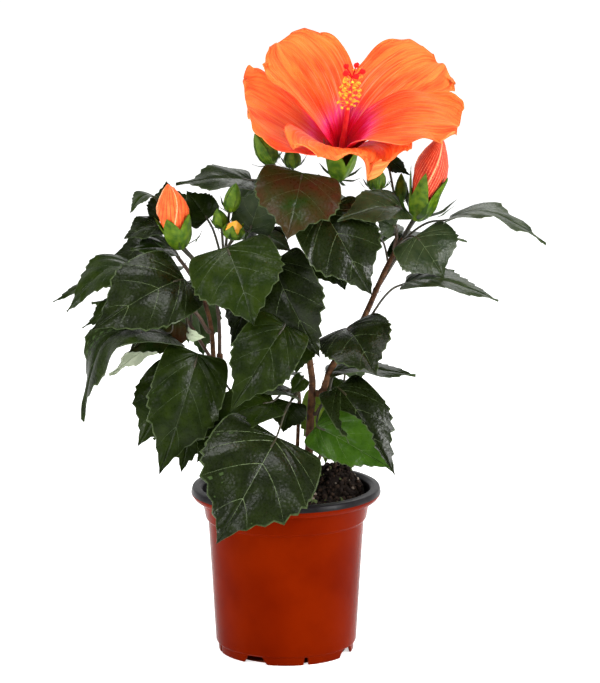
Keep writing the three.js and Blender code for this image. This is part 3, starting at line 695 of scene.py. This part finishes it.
def surface(name, dark, light, grain, roughness, bump, depth, gloss=0.5, quilted=False, extra=()):
    """A surface that drifts from dark to light over patches of grain mm, with fine bumps of bump mm.

    extra holds further inputs of its shader.
    """
    tree, shader = material(name)
    drift = noise(tree, 1 / (grain * MM), 4, coordinates(tree))
    fine = noise(tree, 1 / (bump * MM), 3, coordinates(tree))
    relief = dict(Height=fine, Distance=depth * MM)
    if quilted:
        relief["Normal"] = quilting(tree)
    inputs = {
        "Base Color": ramp(tree, drift, [(0.36, dark), (0.64, light)]),
        "Roughness": ranged(tree, fine, NOISE_MIDDLE, roughness),
        "Normal": from_node(tree, "Bump", "Normal", relief),
        "Specular IOR Level": gloss,
    }
    set_inputs(tree, shader, {**inputs, **dict(extra)})


def leaf_surface(look, dark, light, roughness=(0.24, 0.38), gloss=0.08, grain=9):
    surface("leaf_" + look, dark, light, grain, roughness, 1.6, 0.06, gloss, quilted=True)


for surface_name, surface_row in SURFACES.items():
    surface(surface_name, *surface_row)
for look_name, look_row in LEAF_LOOKS.items():
    leaf_surface(look_name, *look_row)

# ---- fine leaves

VEINS = 6  # side veins on each side of the midrib
TEETH = (1.0, -0.5, 0.4, -0.7)
LINES_PER_VEIN = len(TEETH)
LINES = (VEINS + 1) * LINES_PER_VEIN + 1
# The last step, from 0.975 to 1, is the narrow margin strip that carries the painted highlight along the rim.
ACROSS = np.array([0, 0.07, 0.22, 0.42, 0.62, 0.82, 0.975, 1])
FINE_LOBE = 0.14
THICKNESS = 0.4
TIP_TAPER = 0.55
PUCKER = 0.016
CREASE = 0.35
# The margin look is a painted highlight along each leaf's rim.
LOOKS = [*LEAF_LOOKS, "margin"]
UNDERSIDES = dict(thin="under_thin", pale="pale")
DIM_VEINED = ("dark", "mid", "maroon")


def fine_leaf(leaf, random):
    """Returns a function of line and share across, with arrays, that gives points of one side."""
    length, width = leaf["length"], leaf["width"]
    phase = FULL_TURN * random()
    waves = 1.6 + 1.4 * random()
    wave_height = 0.012 + 0.02 * random()
    boldness = 0.8 + 0.5 * random()
    lines = np.arange(LINES)
    t_lines = (lines / (LINES - 1)) ** 1.5
    tooth = np.array([TEETH[line % LINES_PER_VEIN] for line in lines])
    tooth = tooth * np.array([0.4 + 1.2 * random() for _ in lines])
    tooth = tooth * smooth(0.22, 0.5, t_lines) * (1 - smooth(0.88, 1.0, t_lines)) * boldness
    lean = 0.03 * (random() - 0.5)

    def points(line, across, sign, lift=0.0):
        t = np.interp(line, lines, t_lines)
        bite = np.interp(line, lines, tooth)
        half = width / 2 * blade_half(np.clip(t, 0, 1))
        root = np.maximum(0, (t - 0.38) / 0.62) ** 1.25
        edge = t - FINE_LOBE * np.sin(math.pi * np.minimum(1, t / 0.3)) + 0.02 * bite * across**4
        u = root + (edge - root) * across * (0.66 + 0.34 * across)
        reach = half * across * (1 + 0.05 * bite * across**6) * (1 - TIP_TAPER * smooth(0.5, 0.95, t))
        inner = np.clip(u, -0.1, 1)
        frac = (line / LINES_PER_VEIN) % 1
        pucker = PUCKER * length * np.sin(math.pi * frac) * np.sin(math.pi * across**0.75) * (1 - t) ** 0.3
        wave = wave_height * length * across**3 * np.sin(phase + sign * 0.8 + waves * FULL_TURN * t)
        crease = -CREASE * np.exp(-((across / 0.12) ** 2))
        rise = arch_rise(leaf, inner) + (leaf["fold"] + 0.1) * reach - CURL * 2 * half * across**2
        rise = rise + pucker + wave * smooth(0, 0.3, t) + crease + lift
        bend = lean * length * np.sin(math.pi * np.clip(u, 0, 1))
        return (
            leaf["start"]
            + (length * u)[..., None] * leaf["ahead"]
            + (sign * reach + bend)[..., None] * leaf["side"]
            + rise[..., None] * leaf["normal"]
        )

    return points


def add_blade(build, leaf, points):
    look = LOOKS.index(leaf["look"])
    under = LOOKS.index(UNDERSIDES.get(leaf["look"], "under"))
    margin = LOOKS.index("margin")
    line, across = np.meshgrid(np.arange(LINES, dtype=float), ACROSS, indexing="ij")
    for sign in (1, -1):
        top, bottom = (points(line, across, sign, lift) for lift in (THICKNESS / 2, -THICKNESS / 2))
        build.grid(top[:, :-1], look, flip=sign > 0)
        # The outer strip of each side and the rim take the margin look, a painted highlight along the leaf's
        # edge.
        build.grid(top[:, -2:], margin, flip=sign > 0)
        build.grid(bottom, under, flip=sign < 0)
        build.grid(np.stack([top[:, -1], bottom[:, -1]], 1), margin, flip=sign > 0)


def add_ribbon(build, center, sideways, half_width, height, normal, kind):
    """A low ridge along center, half_width to either side."""
    edge = sideways * half_width[:, None]
    left, right = (center + side - normal * 0.05 for side in (-edge, edge))
    build.grid(np.stack([left, center + normal * height[:, None], right], 1), kind)


def add_veins(build, leaf, points):
    kind = int(leaf["look"] not in DIM_VEINED)
    normal = leaf["normal"]
    scale = leaf["width"] / 50
    share = np.linspace(0, 0.97, 9)
    wide = (0.17 - 0.13 * share) * scale
    for sign in (1, -1):
        for vein in range(1, VEINS + 1):
            line = np.full(len(share), float(vein * LINES_PER_VEIN))
            center = points(line, share, sign, THICKNESS / 2)
            beside = np.cross(np.gradient(center, axis=0), normal)
            beside = beside / np.linalg.norm(beside, axis=1)[:, None]
            add_ribbon(build, center, beside, wide, wide * 0.4, normal, kind)
    line = np.linspace(0, LINES - 1, 22)
    middle = np.zeros(len(line))
    wide = np.linspace(0.46, 0.08, len(line)) * scale
    side = np.repeat(leaf["side"][None], len(line), 0)
    add_ribbon(build, points(line, middle, 1, THICKNESS / 2), -side, wide, wide * 0.6 + 0.1, normal, kind)
    add_ribbon(build, points(line, middle, 1, -THICKNESS / 2), side, wide * 1.2, wide * 0.8, -normal, 1)


for part, names, seed in (("front", list(MASSES), 11), ("back", list(GROWN), 17)):
    random = seeded(seed)
    blades, veins = Build(), Build()
    for mass_name in names:
        for leaf in masses[mass_name]["leaves"]:
            surface_points = fine_leaf(leaf, random)
            add_blade(blades, leaf, surface_points)
            add_veins(veins, leaf, surface_points)
    blades.piece("leaf_blades_" + part, ["leaf_" + look for look in LOOKS], "leaf", names)
    veins.piece("leaf_veins_" + part, ["vein_dim", "vein_pale"], "leaf", names)

# ---- twigs, petioles and stipules

TWIG_RADII = (1.5, 1.0)
TWIG, STALK = 0, 1


def add_spike(build, root, way, length, radius, kind, curve=0.0):
    """A thin pointed stipule or bract."""
    bent = root + way * length + UP * curve * length
    path = rounded([root, root + way * length * 0.6, bent], 1)
    add_tube(build, path, [radius, radius * 0.8, radius * 0.15], 5, kind)


def twig_radii(radii, count, random):
    """Radii along a twig with a soft knot every few steps."""
    share = np.linspace(0, 1, count)
    return [between(radii, s) * (1 + 0.12 * random() * (index % 4 == 0)) for index, s in enumerate(share)]


twigs = Build()
random = seeded(37)
for mass in masses.values():
    path = rounded(mass["path"], 2)
    add_tube(twigs, path, twig_radii(TWIG_RADII, len(path), random), 9, TWIG)
    for leaf in mass["leaves"]:
        stalk = petiole_path(mass["path"], leaf)
        path = rounded(stalk, 3)
        share = np.linspace(0, 1, len(path))
        swell = 1 + 0.45 * np.exp(-((share / 0.07) ** 2)) + 0.3 * np.exp(-(((share - 0.86) / 0.06) ** 2))
        radii = between(PETIOLE_RADII, share) * swell * 0.85
        add_tube(twigs, path, radii, 8, STALK)
        way = unit(stalk[1] - stalk[0])
        for turn in (50, -50):
            add_spike(twigs, stalk[0], turned(way, UP, turn), 3 + 2 * random(), 0.35, STALK, 0.3)
for shoot in SHOOTS.values():
    path = rounded(path_from(shoot["start"], shoot["stem"]), 3)
    add_tube(twigs, path, [1.5, 1.5, 1.9], 10, STALK)
for mass in masses.values():
    for share, base, tip, radius in mass["buds"]:
        root = along(mass["path"], share)[0]
        start, end = point(*base), point(*tip)
        path = rounded([root, root + (start - root) * 0.6, start, start + (end - start) * 0.2], 3)
        add_tube(twigs, path, [1.0, 0.85, 1.1], 8, STALK)
twigs.piece("twigs", ["twig_bark", "leaf_stalk"], "leaf", list(masses))

# ---- bark of stems and boughs

BARK_SIDES = 22
RING_STEP = 0.9
KNOT_STEP = 9
bark = Build()
random = seeded(53)
angle = circle(BARK_SIDES)
for limb in limbs.values():
    smooth_path = rounded(limb["path"], 2)
    length = sum(float(np.linalg.norm(b - a)) for a, b in zip(smooth_path, smooth_path[1:]))
    count = int(length / RING_STEP)
    path = path_samples(smooth_path, count)
    radii = [limb_radius(limb, index / (count - 1)) for index in range(count)]
    relief = []
    knots = [(random() * count, FULL_TURN * random()) for _ in range(int(length / KNOT_STEP))]
    for index in range(count):
        ridge = 0.035 * np.sin(5 * angle + 0.11 * index) + 0.025 * np.sin(9 * angle - 0.23 * index + 1)
        rough = np.array([0.05 * (random() - 0.5) for _ in angle])
        knot = sum(
            0.28 * math.exp(-(((index - at) / 1.8) ** 2)) * np.exp(-4 * (1 - np.cos(angle - facing)))
            for at, facing in knots
        )
        relief.append(1 + ridge + rough + knot)
    add_tube(bark, path, radii, BARK_SIDES, relief=relief)
    for at, facing in knots:
        place, way = along(smooth_path, min(0.98, at / count))
        out = unit(np.cross(way, heading(math.degrees(facing), 0)))
        root = place + out * limb_radius(limb, at / count) * 0.9
        add_spike(bark, root, unit(out + way * 0.8), 2.2 + 2 * random(), 0.32, 0, 0.2)
bark.piece("bark", ["bark"], "bark", list(limbs))

# ---- buds

PETAL_BODY, CALYX, BRACT, PETAL_EDGE, PETAL_FOLD = range(5)
BUD_PROFILE = [
    (0, 0.2), (0.1, 0.42), (0.25, 0.68), (0.42, 0.88), (0.56, 0.96),
    (0.68, 0.87), (0.8, 0.64), (0.92, 0.33), (1, 0),
]
GREEN_PROFILE = [(0, 0.25), (0.12, 0.8), (0.3, 1.0), (0.5, 1.0), (0.7, 0.76), (0.86, 0.42), (1, 0)]
SHOWING_PETALS = 7  # a small bud of a larger radius has begun to open


def bud_axes(base, tip):
    ahead = tip - base
    across = unit(point(1, 0, 0) - ahead * (ahead[0] / float(ahead @ ahead)))
    return ahead, across, np.cross(unit(ahead), across)


def add_round(build, base, tip, share, radius, angle, kind):
    """A round surface; share, from base to tip, and radius are given at each [row, column]."""
    ahead, across, other = bud_axes(base, tip)
    out = np.cos(angle)[:, None] * across + np.sin(angle)[:, None] * other
    build.grid(base + share[..., None] * ahead + radius[..., None] * out, kind, closed=True)


def lobed(low, high):
    """A cup with five pointed lobes: its angles, lobes, levels, and shares from base to tip."""
    angle = circle(60)
    lobe = 1 - np.abs((angle * 5 / (2 * math.pi)) % 1 * 2 - 1)
    level = np.linspace(0, 1, 14)[:, None]
    return angle, lobe, level, level * (low + (high - low) * lobe**0.9)


def add_calyx(build, base, tip, radius, low, high, flare, profile=BUD_PROFILE):
    """A cup that hugs the petals, with five pointed lobes; low and high are shares from base to tip."""
    angle, lobe, level, share = lobed(low, high)
    swell = np.sin(np.clip(level * 1.9, 0, math.pi / 2)) ** 0.7
    hug = 1.07 * radius * np.interp(share, *zip(*profile)) + 0.4
    cup = 0.88 * radius * (0.3 + 0.7 * swell)
    ribs = 0.03 * radius * np.cos(10 * angle) * level
    size = np.maximum(cup, hug) + ribs + flare * level**4 * lobe
    for layer in (0, -0.5):
        add_round(build, base, tip, share, size + layer, angle, CALYX)


def add_bracts(build, base, tip, radius, count, length, spread, kind=BRACT):
    ahead, across, other = bud_axes(base, tip)
    way = unit(ahead)
    level = np.linspace(0, 1, 9)
    for index in range(count):
        angle = 2 * math.pi * index / count + 0.3
        out = across * math.cos(angle) + other * math.sin(angle)
        center = (
            base
            + out * radius * 0.35
            + np.outer(level * length, way * (1 - spread) + out * 0.12)
            + np.outer(level**1.5 * length * spread + radius * 0.75 * smooth(0, 0.5, level), out)
        )
        half = 0.085 * length * np.sin(math.pi * level**0.6) + 0.12
        edge = np.cross(way, out) * half[:, None]
        build.grid(np.stack([center - edge, center + out * 0.3, center + edge], 1), kind)


def add_rolled(build, base, tip, radius, profile, turns, petals, kinds, fold_count=6, sway=0.6):
    """Petals rolled round each other: each edge stands a little over the next as it winds up.

    kinds are those of a petal's face, edge and folds.
    """
    face, edge, fold = kinds
    angle = circle(216)
    level = np.linspace(0, 1, 84)[:, None]
    size = radius * np.interp(level, *zip(*profile))
    wound = (angle * petals / (2 * math.pi) - turns * level) % 1
    folds = (wound * fold_count + sway * np.sin(5 * level + 2 * angle)) % 1
    step = 0.13 * wound**2 - 0.05 - 0.18 / fold_count * np.exp(-(((folds - 0.5) / 0.16) ** 2))
    kind = np.where(wound > 0.95, edge, np.where(np.abs(folds - 0.5) < 0.12, fold, face))
    add_round(build, base, tip, level, size * (1 + step), angle, kind[:-1].ravel())


for name, row in LARGE_BUDS.items():
    large = Build()
    base, tip, radius = point(*row["base"]), point(*row["tip"]), row["radius"]
    kinds = (PETAL_BODY, PETAL_EDGE, PETAL_FOLD)
    add_rolled(large, base, tip, radius, BUD_PROFILE, row["turns"], 3, kinds, row["folds"], row["sway"])
    add_calyx(large, base - (tip - base) * 0.02, tip, radius, *row["calyx"], 1.2)
    add_bracts(large, base, tip, radius, 7, row["bracts"], 0.3)
    face_look, fold_look = row["petals"]
    looks = [face_look, "calyx_green", "bract_green", "bud_edge_cream", fold_look]
    large.piece(name.replace("bud_shoot", "large_bud"), looks, "bud", [name])

green = Build()
for mass in masses.values():
    for _, base, tip, radius in mass["buds"]:
        base, tip = point(*base), point(*tip)
        if radius > SHOWING_PETALS:
            kinds = (PETAL_BODY, PETAL_EDGE, PETAL_BODY)
            add_rolled(green, base, tip, 0.94 * radius, GREEN_PROFILE, 0.4, 3, kinds)
            add_calyx(green, base, tip, 0.94 * radius, 0.42, 0.86, 0.5, GREEN_PROFILE)
        else:
            add_rolled(green, base, tip, radius, GREEN_PROFILE, 0.15, 5, (CALYX, BRACT, CALYX))
        add_bracts(green, base, tip, radius, 6, 5 + radius, 0.3)
budded = [name for name, row in MASSES.items() if row["buds"]]
green.piece("green_buds", ["bud_gold", "calyx_green", "bract_green", "bud_edge_cream"], "leaf", budded)

# ---- the open bloom

PETAL_ROWS, PETAL_COLUMNS = 56, 49
PETAL_THICKNESS = 0.6
PETAL_OVERLAP = 0.07
FRILL, FINE_FRILL, RIB = 2.4, 0.8, 0.22
SCALLOP, NICK, SIDE_NOTCH = 0.05, 0.01, 0.07
HORN = dict(petal=4, at=0.93, half=0.026, reach=0.24)  # the small horn on a petal's corner
PETAL_COLORS = [
    (0.0, (0.55, 0.0, 0.012)),
    (0.16, (0.84, 0.002, 0.028)),
    (0.22, (0.88, 0.006, 0.09)),
    (0.27, (0.90, 0.045, 0.26)),
    (0.33, (0.90, 0.085, 0.10)),
    (0.41, (0.88, 0.110, 0.020)),
    (0.72, (0.91, 0.150, 0.018)),
    (1.0, (0.94, 0.21, 0.036)),
]
VEIN_STRENGTH = [(0.18, 0), (0.3, 0.7), (0.45, 0.42), (0.7, 0.12), (1, 0.05)]


def petal_surface(name):
    """Petal colour by the share out from the throat, with veins fanning along the petal, and painted shade in
    patches and in fine crease lines.
    """
    tree, shader = material(name)
    uv = from_node(tree, "UVMap", "UV", {}, uv_map="petal")
    share = from_node(tree, "SeparateXYZ", "Y", dict(Vector=uv))

    def streaks(across, out, detail, distortion=0, scale=1):
        vector = from_node(tree, "Mapping", "Vector", dict(Vector=uv, Scale=(across, out, 1)))
        return noise(tree, scale, detail, vector, distortion)

    def reckoned(operation, first, second):
        return from_node(tree, "Math", "Value", {0: first, 1: second}, operation=operation)

    def greys(source, stops):
        return ramp(tree, source, [(place, (value, value, value)) for place, value in stops])

    def blended(factor, first, second, **settings):
        inputs = dict(Factor=factor, A=first, B=(*second, 1))
        return from_node(tree, "Mix", "Result", inputs, data_type="RGBA", **settings)

    spread = reckoned("MULTIPLY", reckoned("SUBTRACT", streaks(16, 1.6, 3), 0.5), 0.16)
    color = ramp(tree, reckoned("ADD", share, spread), PETAL_COLORS)
    veins = greys(streaks(46, 0.9, 3), [(0.55, 0), (0.66, 1)])
    color = blended(reckoned("MULTIPLY", veins, greys(share, VEIN_STRENGTH)), color, (0.96, 0.46, 0.28))
    # Painted shade: darker coral patches spread at random over the petals, standing in for the shade at their
    # bottoms and in their folds.
    painted_shade_patches = greys(streaks(1, 1, 2, scale=3.2), [(0.45, 0), (0.65, 0.8)])
    color = blended(painted_shade_patches, color, (1.0, 0.5, 0.45), blend_type="MULTIPLY")
    # Painted shade: fine darker streaks along the petals, standing in for the shade in their creases.
    lines = greys(streaks(19, 2.4, 5, 0.5), [(0.50, 0), (0.60, 0.75)])
    color = blended(lines, color, (0.90, 0.46, 0.40), blend_type="MULTIPLY")
    relief = dict(Height=streaks(22, 3.5, 5), Distance=3.2 * MM)
    inputs = {
        "Base Color": color,
        "Roughness": 0.6,
        "Specular IOR Level": 0.2,
        "Subsurface Weight": 0.3,
        "Subsurface Radius": (1, 0.3, 0.25),
        "Subsurface Scale": 4 * MM,
        "Normal": from_node(tree, "Bump", "Normal", relief),
    }
    set_inputs(tree, shader, inputs)


petal_surface("petal_orange")
petals = Build()
u_line = np.sin(np.linspace(0, math.pi / 2, PETAL_ROWS)) ** 0.9 * 0.998
v_line = np.linspace(-1, 1, PETAL_COLUMNS)
u, v = np.meshgrid(u_line, v_line, indexing="ij")
margin = 1 - (1 - v**2) * (1 - u**6)
span = petal_half(u) * v
for index, row in enumerate(PETALS):
    _, length, width = row[:3]
    sideways = width / 2 * span
    outward = length * u
    lobes = np.abs(np.sin(3.4 * span + 1.7 * index + 0.8 * np.sin(2.3 * span + index)))
    nicks = 0.5 + 0.5 * np.sin(17 * span + index)
    u_cut = u * (0.99 - (SCALLOP * (1 - lobes) ** 2 + NICK * nicks) * smooth(0.6, 1, u))
    notches = (1 - np.abs(np.sin(7 * u + 2.3 * index + v))) ** 2
    widening = PETAL_OVERLAP * (1 - smooth(0.5, 0.85, u))
    v_cut = v * (1 + widening - SIDE_NOTCH * notches * smooth(0.5, 1, u) * v**4)
    if index == HORN["petal"]:
        spike = np.exp(-(((u - HORN["at"]) / HORN["half"]) ** 2)) * smooth(0.6, 1, -v)
        v_cut = v_cut * (1 + HORN["reach"] * spike)
    broad = np.sin(0.24 * sideways + 0.13 * outward + 2.1 * index)
    fine = np.sin(0.5 * sideways - 0.2 * outward + index)
    frill = FRILL * margin**2.2 * smooth(0.3, 0.8, u) * broad
    frill = frill + FINE_FRILL * margin**3 * smooth(0.4, 0.9, u) * fine
    rise = frill + RIB * np.sin(38 * v + index) * smooth(0.1, 0.4, u) * (1 - margin)
    coords = np.stack([v + 3 * index, u], -1)
    upper, lower = (petal_points(row, u_cut, v_cut, rise + side * PETAL_THICKNESS / 2) for side in (1, -1))
    petals.grid(upper, coords=coords)
    petals.grid(lower, flip=True, coords=coords)
    for edge in ((slice(None), 0), (slice(None), -1), (-1, slice(None))):
        petals.grid(np.stack([upper[edge], lower[edge]], 1), coords=np.stack([coords[edge]] * 2, 1))
petals.piece("petals", ["petal_orange"], "petal", ["bloom_shoot"], uv=True)

COLUMN, ANTHER, STIGMA, CUP, CUP_BRACT = range(5)
ANTHERS = 58


def column_point(share):
    return THROAT + BLOOM_AXIS * (share * COLUMN_LENGTH)


def add_bead(build, center, radius, way, kind, random, long=1.0, sides=7):
    """A small lumpy bead, longer along way by the factor long."""
    across = unit(np.cross(way, point(0.3, 0.5, 0.8)))
    other = np.cross(way, across)
    rings = []
    for rise in np.linspace(0, math.pi, sides - 1):
        size = radius * math.sin(rise) * (0.85 + 0.3 * random())
        spot = center - way * (radius * long * math.cos(rise))
        rings.append(ring(spot, size, circle(sides), across, other))
    build.grid(np.array(rings), kind, closed=True)


heart = Build()
random = seeded(91)
column_path = [column_point(s) for s in np.linspace(-0.04, 0.97, 24)]
add_tube(heart, column_path, [COLUMN_RADII[0], 1.7, COLUMN_RADII[1], 0.9], 14, COLUMN)
for index in range(5):
    out, _ = bloom_frame(72 * index + 20)
    tip = column_point(1.05) + out * 6
    stalk = rounded([column_point(0.95), column_point(1.0) + out * 2, tip], 2)
    add_tube(heart, stalk, [0.55, 0.5], 7, STIGMA)
    add_bead(heart, tip, 1.9, unit(BLOOM_AXIS + out * 0.3), STIGMA, random, 0.85, 14)
    for _ in range(9):
        fuzz = heading(360 * random(), 80 * random() - 10)
        add_bead(heart, tip + fuzz * 1.7, 0.55, fuzz, STIGMA, random)
for index in range(ANTHERS):
    share = 0.60 + 0.38 * index / ANTHERS
    out, _ = bloom_frame(GOLDEN_ANGLE * index)
    root = column_point(share) + out * 1.2
    way = unit(out + BLOOM_AXIS * (0.15 + 0.5 * random()))
    tip = root + way * (3.6 + 3.2 * random())
    add_tube(heart, [root, (root + tip) / 2 + BLOOM_AXIS * 0.3, tip], [0.24, 0.2], 5, ANTHER)
    add_bead(heart, tip, 0.8, unit(np.cross(way, BLOOM_AXIS) + 0.2 * BLOOM_AXIS), ANTHER, random, 1.5)
calyx_tip = CALYX_BASE + (THROAT - CALYX_BASE) * 2.4
angle, lobe, level, share = lobed(0.34, 0.64)
cup_size = 3.2 + 7.4 * np.sin(np.clip(level * 1.8, 0, math.pi / 2)) ** 0.8 + 2.4 * level**3 * lobe
add_round(heart, CALYX_BASE, calyx_tip, share, cup_size, angle, CUP)
add_bracts(heart, CALYX_BASE, calyx_tip, 8, 8, 13, 0.4, CUP_BRACT)
heart_looks = ["column_pink", "anther_yellow", "stigma_red", "calyx_green", "bract_green"]
heart.piece("bloom_heart", heart_looks, "petal", ["bloom_shoot"])

# ---- potting mix

SOIL = dict(bottom=46.4, wall=(51.5, 91), top=54.6, edge=103, crown=105, heap=20, at=(35, 24), spread=15)
POT_FLOOR_TOP = 9
CRUMBS = 2600
FLECK, MOSS = 2, 3
FLECK_EVERY, MOSS_EVERY = 17, 29


def level_ring(radius, height, angle):
    return np.stack([radius * np.cos(angle), radius * np.sin(angle), np.broadcast_to(height, angle.shape)], 1)


def soil_height(x, y):
    dome = (SOIL["crown"] - SOIL["edge"]) * np.maximum(0, 1 - (x * x + y * y) / SOIL["top"] ** 2)
    away = ((x - SOIL["at"][0]) ** 2 + (y - SOIL["at"][1]) ** 2) / (2 * SOIL["spread"] ** 2)
    crumbs = 0.9 * np.sin(0.31 * x + 1.3) * np.cos(0.27 * y) + 0.6 * np.sin(0.62 * (x - y))
    return SOIL["edge"] + dome + SOIL["heap"] * np.exp(-away) + crumbs


soil = Build()
angle = circle(120)
under = POT_FLOOR_TOP + GAP
rings = [level_ring(*place, angle) for place in ((0.1, under), (SOIL["bottom"], under), SOIL["wall"])]
for share in np.linspace(1, 0.005, 44):
    x, y = SOIL["top"] * share * np.cos(angle), SOIL["top"] * share * np.sin(angle)
    lumps = 0.8 * np.sin(0.9 * x + 2 * np.sin(0.5 * y)) * np.sin(1.1 * y + np.sin(0.7 * x))
    rings.append(np.stack([x, y, soil_height(x, y) + lumps - 0.6], 1))
soil.grid(np.array(rings), 0, closed=True)
random = seeded(19)
for index in range(CRUMBS):
    reach = (SOIL["top"] - 1.5) * math.sqrt(random())
    bearing = 2 * math.pi * random()
    x, y = reach * math.cos(bearing), reach * math.sin(bearing)
    size = 0.5 + 1.5 * random() ** 2
    kind = FLECK if index % FLECK_EVERY == 0 else (MOSS if index % MOSS_EVERY == 0 else index % 2)
    center = point(x, y, float(soil_height(np.float64(x), np.float64(y))) + 0.25 * size)
    way = unit(point(random() - 0.5, random() - 0.5, random() - 0.5) + 1e-6)
    add_bead(soil, center, size, way, kind, random, 0.7 + 0.8 * random())
soil.piece("soil", ["soil_dark", "soil_brown", "soil_fleck", "soil_moss"], "soil", ["potting_mix"])

# ---- pot

NOTCH = dict(
    count=4, wide_at=-27, wide_half=12, narrow_at=17, narrow_half=2.5, height=5.6, radii=(42, 54)
)
POT_SECTION = [
    (0.01, 0), (14, 0), (14, 6.5), (44.8, 6.5), (45, 0), (46.4, 0), (46.7, 5.8), (48.2, 6.6),
    (53.3, 92), (55.1, 93.4), (57.6, 107.6), (62.5, 106.8), (65, 110.4), (64, 114.8),
    (59.4, 115.5), (57, 113.2), (53.9, 94), (52, 91.4), (46.9, POT_FLOOR_TOP), (0.01, POT_FLOOR_TOP),
]
BLACK_ABOVE = 110.9  # the lip is black from its widest point over its top to the inside
POT_STEPS = 180


def softened(section, cut):
    """The section with each corner rounded over a cut of at most that length."""
    points = [np.array(p, float) for p in section]
    made = [points[0]]
    for before, corner, after in zip(points, points[1:], points[2:]):
        sides = (before - corner, after - corner)
        a, b = (unit(side) * min(cut, np.linalg.norm(side) / 2.2) for side in sides)
        made.extend([corner + a, corner + (a + b) * 0.3, corner + b])
    return [*made, points[-1]]


def wedge(bearing, half):
    """The eight corners and six faces of a notch through the foot ring."""
    high = NOTCH["height"]
    corners = []
    for radius in NOTCH["radii"]:
        for turn, height in ((-half, -1), (half, -1), (half * 0.55, high), (-half * 0.55, high)):
            a = math.radians(bearing + turn - 90)
            corners.append((radius * math.cos(a), radius * math.sin(a), height))
    faces = [(0, 3, 2, 1), (4, 5, 6, 7), (0, 1, 5, 4), (1, 2, 6, 5), (2, 3, 7, 6), (3, 0, 4, 7)]
    return corners, faces


surface(
    "pot_orange", (0.108, 0.0052, 0.0001), (0.140, 0.0082, 0.0001), 40, (0.2, 0.27), 1.2, 0.012, 0.01,
    extra={"Specular Tint": (1, 0.35, 0.12, 1)},
)
pot = Build()
section = softened(POT_SECTION, 0.7)
rings = np.array([level_ring(radius, height, circle(POT_STEPS)) for radius, height in section])
first_black = next(index for index, (_, z) in enumerate(section) if z > BLACK_ABOVE)
ring_kinds = [int(index >= first_black) for index in range(len(section) - 1)]
pot.grid(rings, np.repeat(ring_kinds, POT_STEPS), closed=True)
pot_piece = pot.piece("pot_shell", ["pot_orange", "pot_black"], "pot", ["pot"])

cutter = Build()
for index in range(NOTCH["count"]):
    step = 360 / NOTCH["count"] * index
    for at, half in ((NOTCH["wide_at"], NOTCH["wide_half"]), (NOTCH["narrow_at"], NOTCH["narrow_half"])):
        cutter.add(*wedge(at + step, half))
cutter_piece = cutter.piece("notches", ["pot_orange"], "pot", [])
cut = pot_piece.modifiers.new("notches", "BOOLEAN")
cut.operation = "DIFFERENCE"
cut.solver = "EXACT"
cut.object = cutter_piece
bpy.context.view_layer.update()
shaped = bpy.data.meshes.new_from_object(pot_piece.evaluated_get(bpy.context.evaluated_depsgraph_get()))
pot_piece.modifiers.clear()
pot_piece.data = shaped
bpy.data.objects.remove(cutter_piece)

# ---- floor, light and camera

SHADE_RADIUS = 41
WHITE_BACKDROP = 1.0
DIM_FRONT = 0.14
# Floor, camera and lamps are placed in metres.
FLOOR_REACH = 6
CAMERA_PLACE = (0, -2.2, 0.655)
CAMERA_TARGET = (0.009571, 0, 0.215016)
# A softbox: name, place, target, width, height, power.
SOFTBOXES = [
    ("left", (-1.3, -0.8, 0.8), (0, 0, 0.2), 0.3, 0.6, 17),
    ("right", (1.3, -0.8, 0.7), (0, 0, 0.2), 0.3, 0.6, 27),
    ("front", (-0.3, -1.9, 1.3), (0, 0, 0.25), 0.4, 0.4, 11),
    ("top", (0.0, -0.3, 1.6), (0, 0, 0.2), 0.6, 0.6, 13),
    ("back", (0.3, 1.2, 1.2), (0, 0, 0.3), 0.9, 0.6, 6),
]


def flat_object(name, corners, look):
    mesh = bpy.data.meshes.new(name)
    mesh.from_pydata(corners, [], [tuple(range(len(corners)))])
    mesh.materials.append(materials[look])
    return scene_object(name, mesh)


def aimed(made, place, target):
    made.location = place
    made.rotation_mode = "QUATERNION"
    made.rotation_quaternion = Vector(point(*target) - point(*place)).to_track_quat("-Z", "Y")


surface(
    "floor_white", (0.94, 0.94, 0.94), (0.96, 0.96, 0.96), 300, (0.8, 0.9), 20, 0.01,
    extra={"Emission Color": (1, 1, 1, 1), "Emission Strength": 0.62},
)
floor_corners = [(x * FLOOR_REACH, y * FLOOR_REACH, 0) for x, y in ((-1, -1), (1, -1), (1, 1), (-1, 1))]
floor = flat_object("floor", floor_corners, "floor_white")
shade_rim = level_ring(SHADE_RADIUS, 0.1, circle(POT_STEPS)) * MM
shade = flat_object("shade_under_pot", shade_rim.tolist(), "shade")

world = bpy.data.worlds.new("studio")
bpy.context.scene.world = world
world.use_nodes = True
sky = world.node_tree
toward = from_node(sky, "SeparateXYZ", "Y", dict(Vector=coordinates(sky, "Generated")))
strength = ranged(sky, toward, (-0.1, 0.7), (DIM_FRONT, WHITE_BACKDROP), interpolation_type="SMOOTHSTEP")
set_inputs(sky, sky.nodes["Background"], dict(Color=(1, 1, 1, 1), Strength=strength))
for name, place, target, width, height, power in SOFTBOXES:
    lamp = bpy.data.lights.new(name, "AREA")
    lamp.shape = "RECTANGLE"
    lamp.size, lamp.size_y = width, height
    lamp.energy = power
    aimed(scene_object(name, lamp), place, target)

camera_data = bpy.data.cameras.new("camera")
camera_data.sensor_width = 36
camera_data.lens = 174.367
camera_data.clip_start, camera_data.clip_end = 0.05, 50
camera = scene_object("camera", camera_data)
aimed(camera, CAMERA_PLACE, CAMERA_TARGET)
bpy.context.scene.camera = camera
bpy.context.scene.view_settings.view_transform = "Standard"
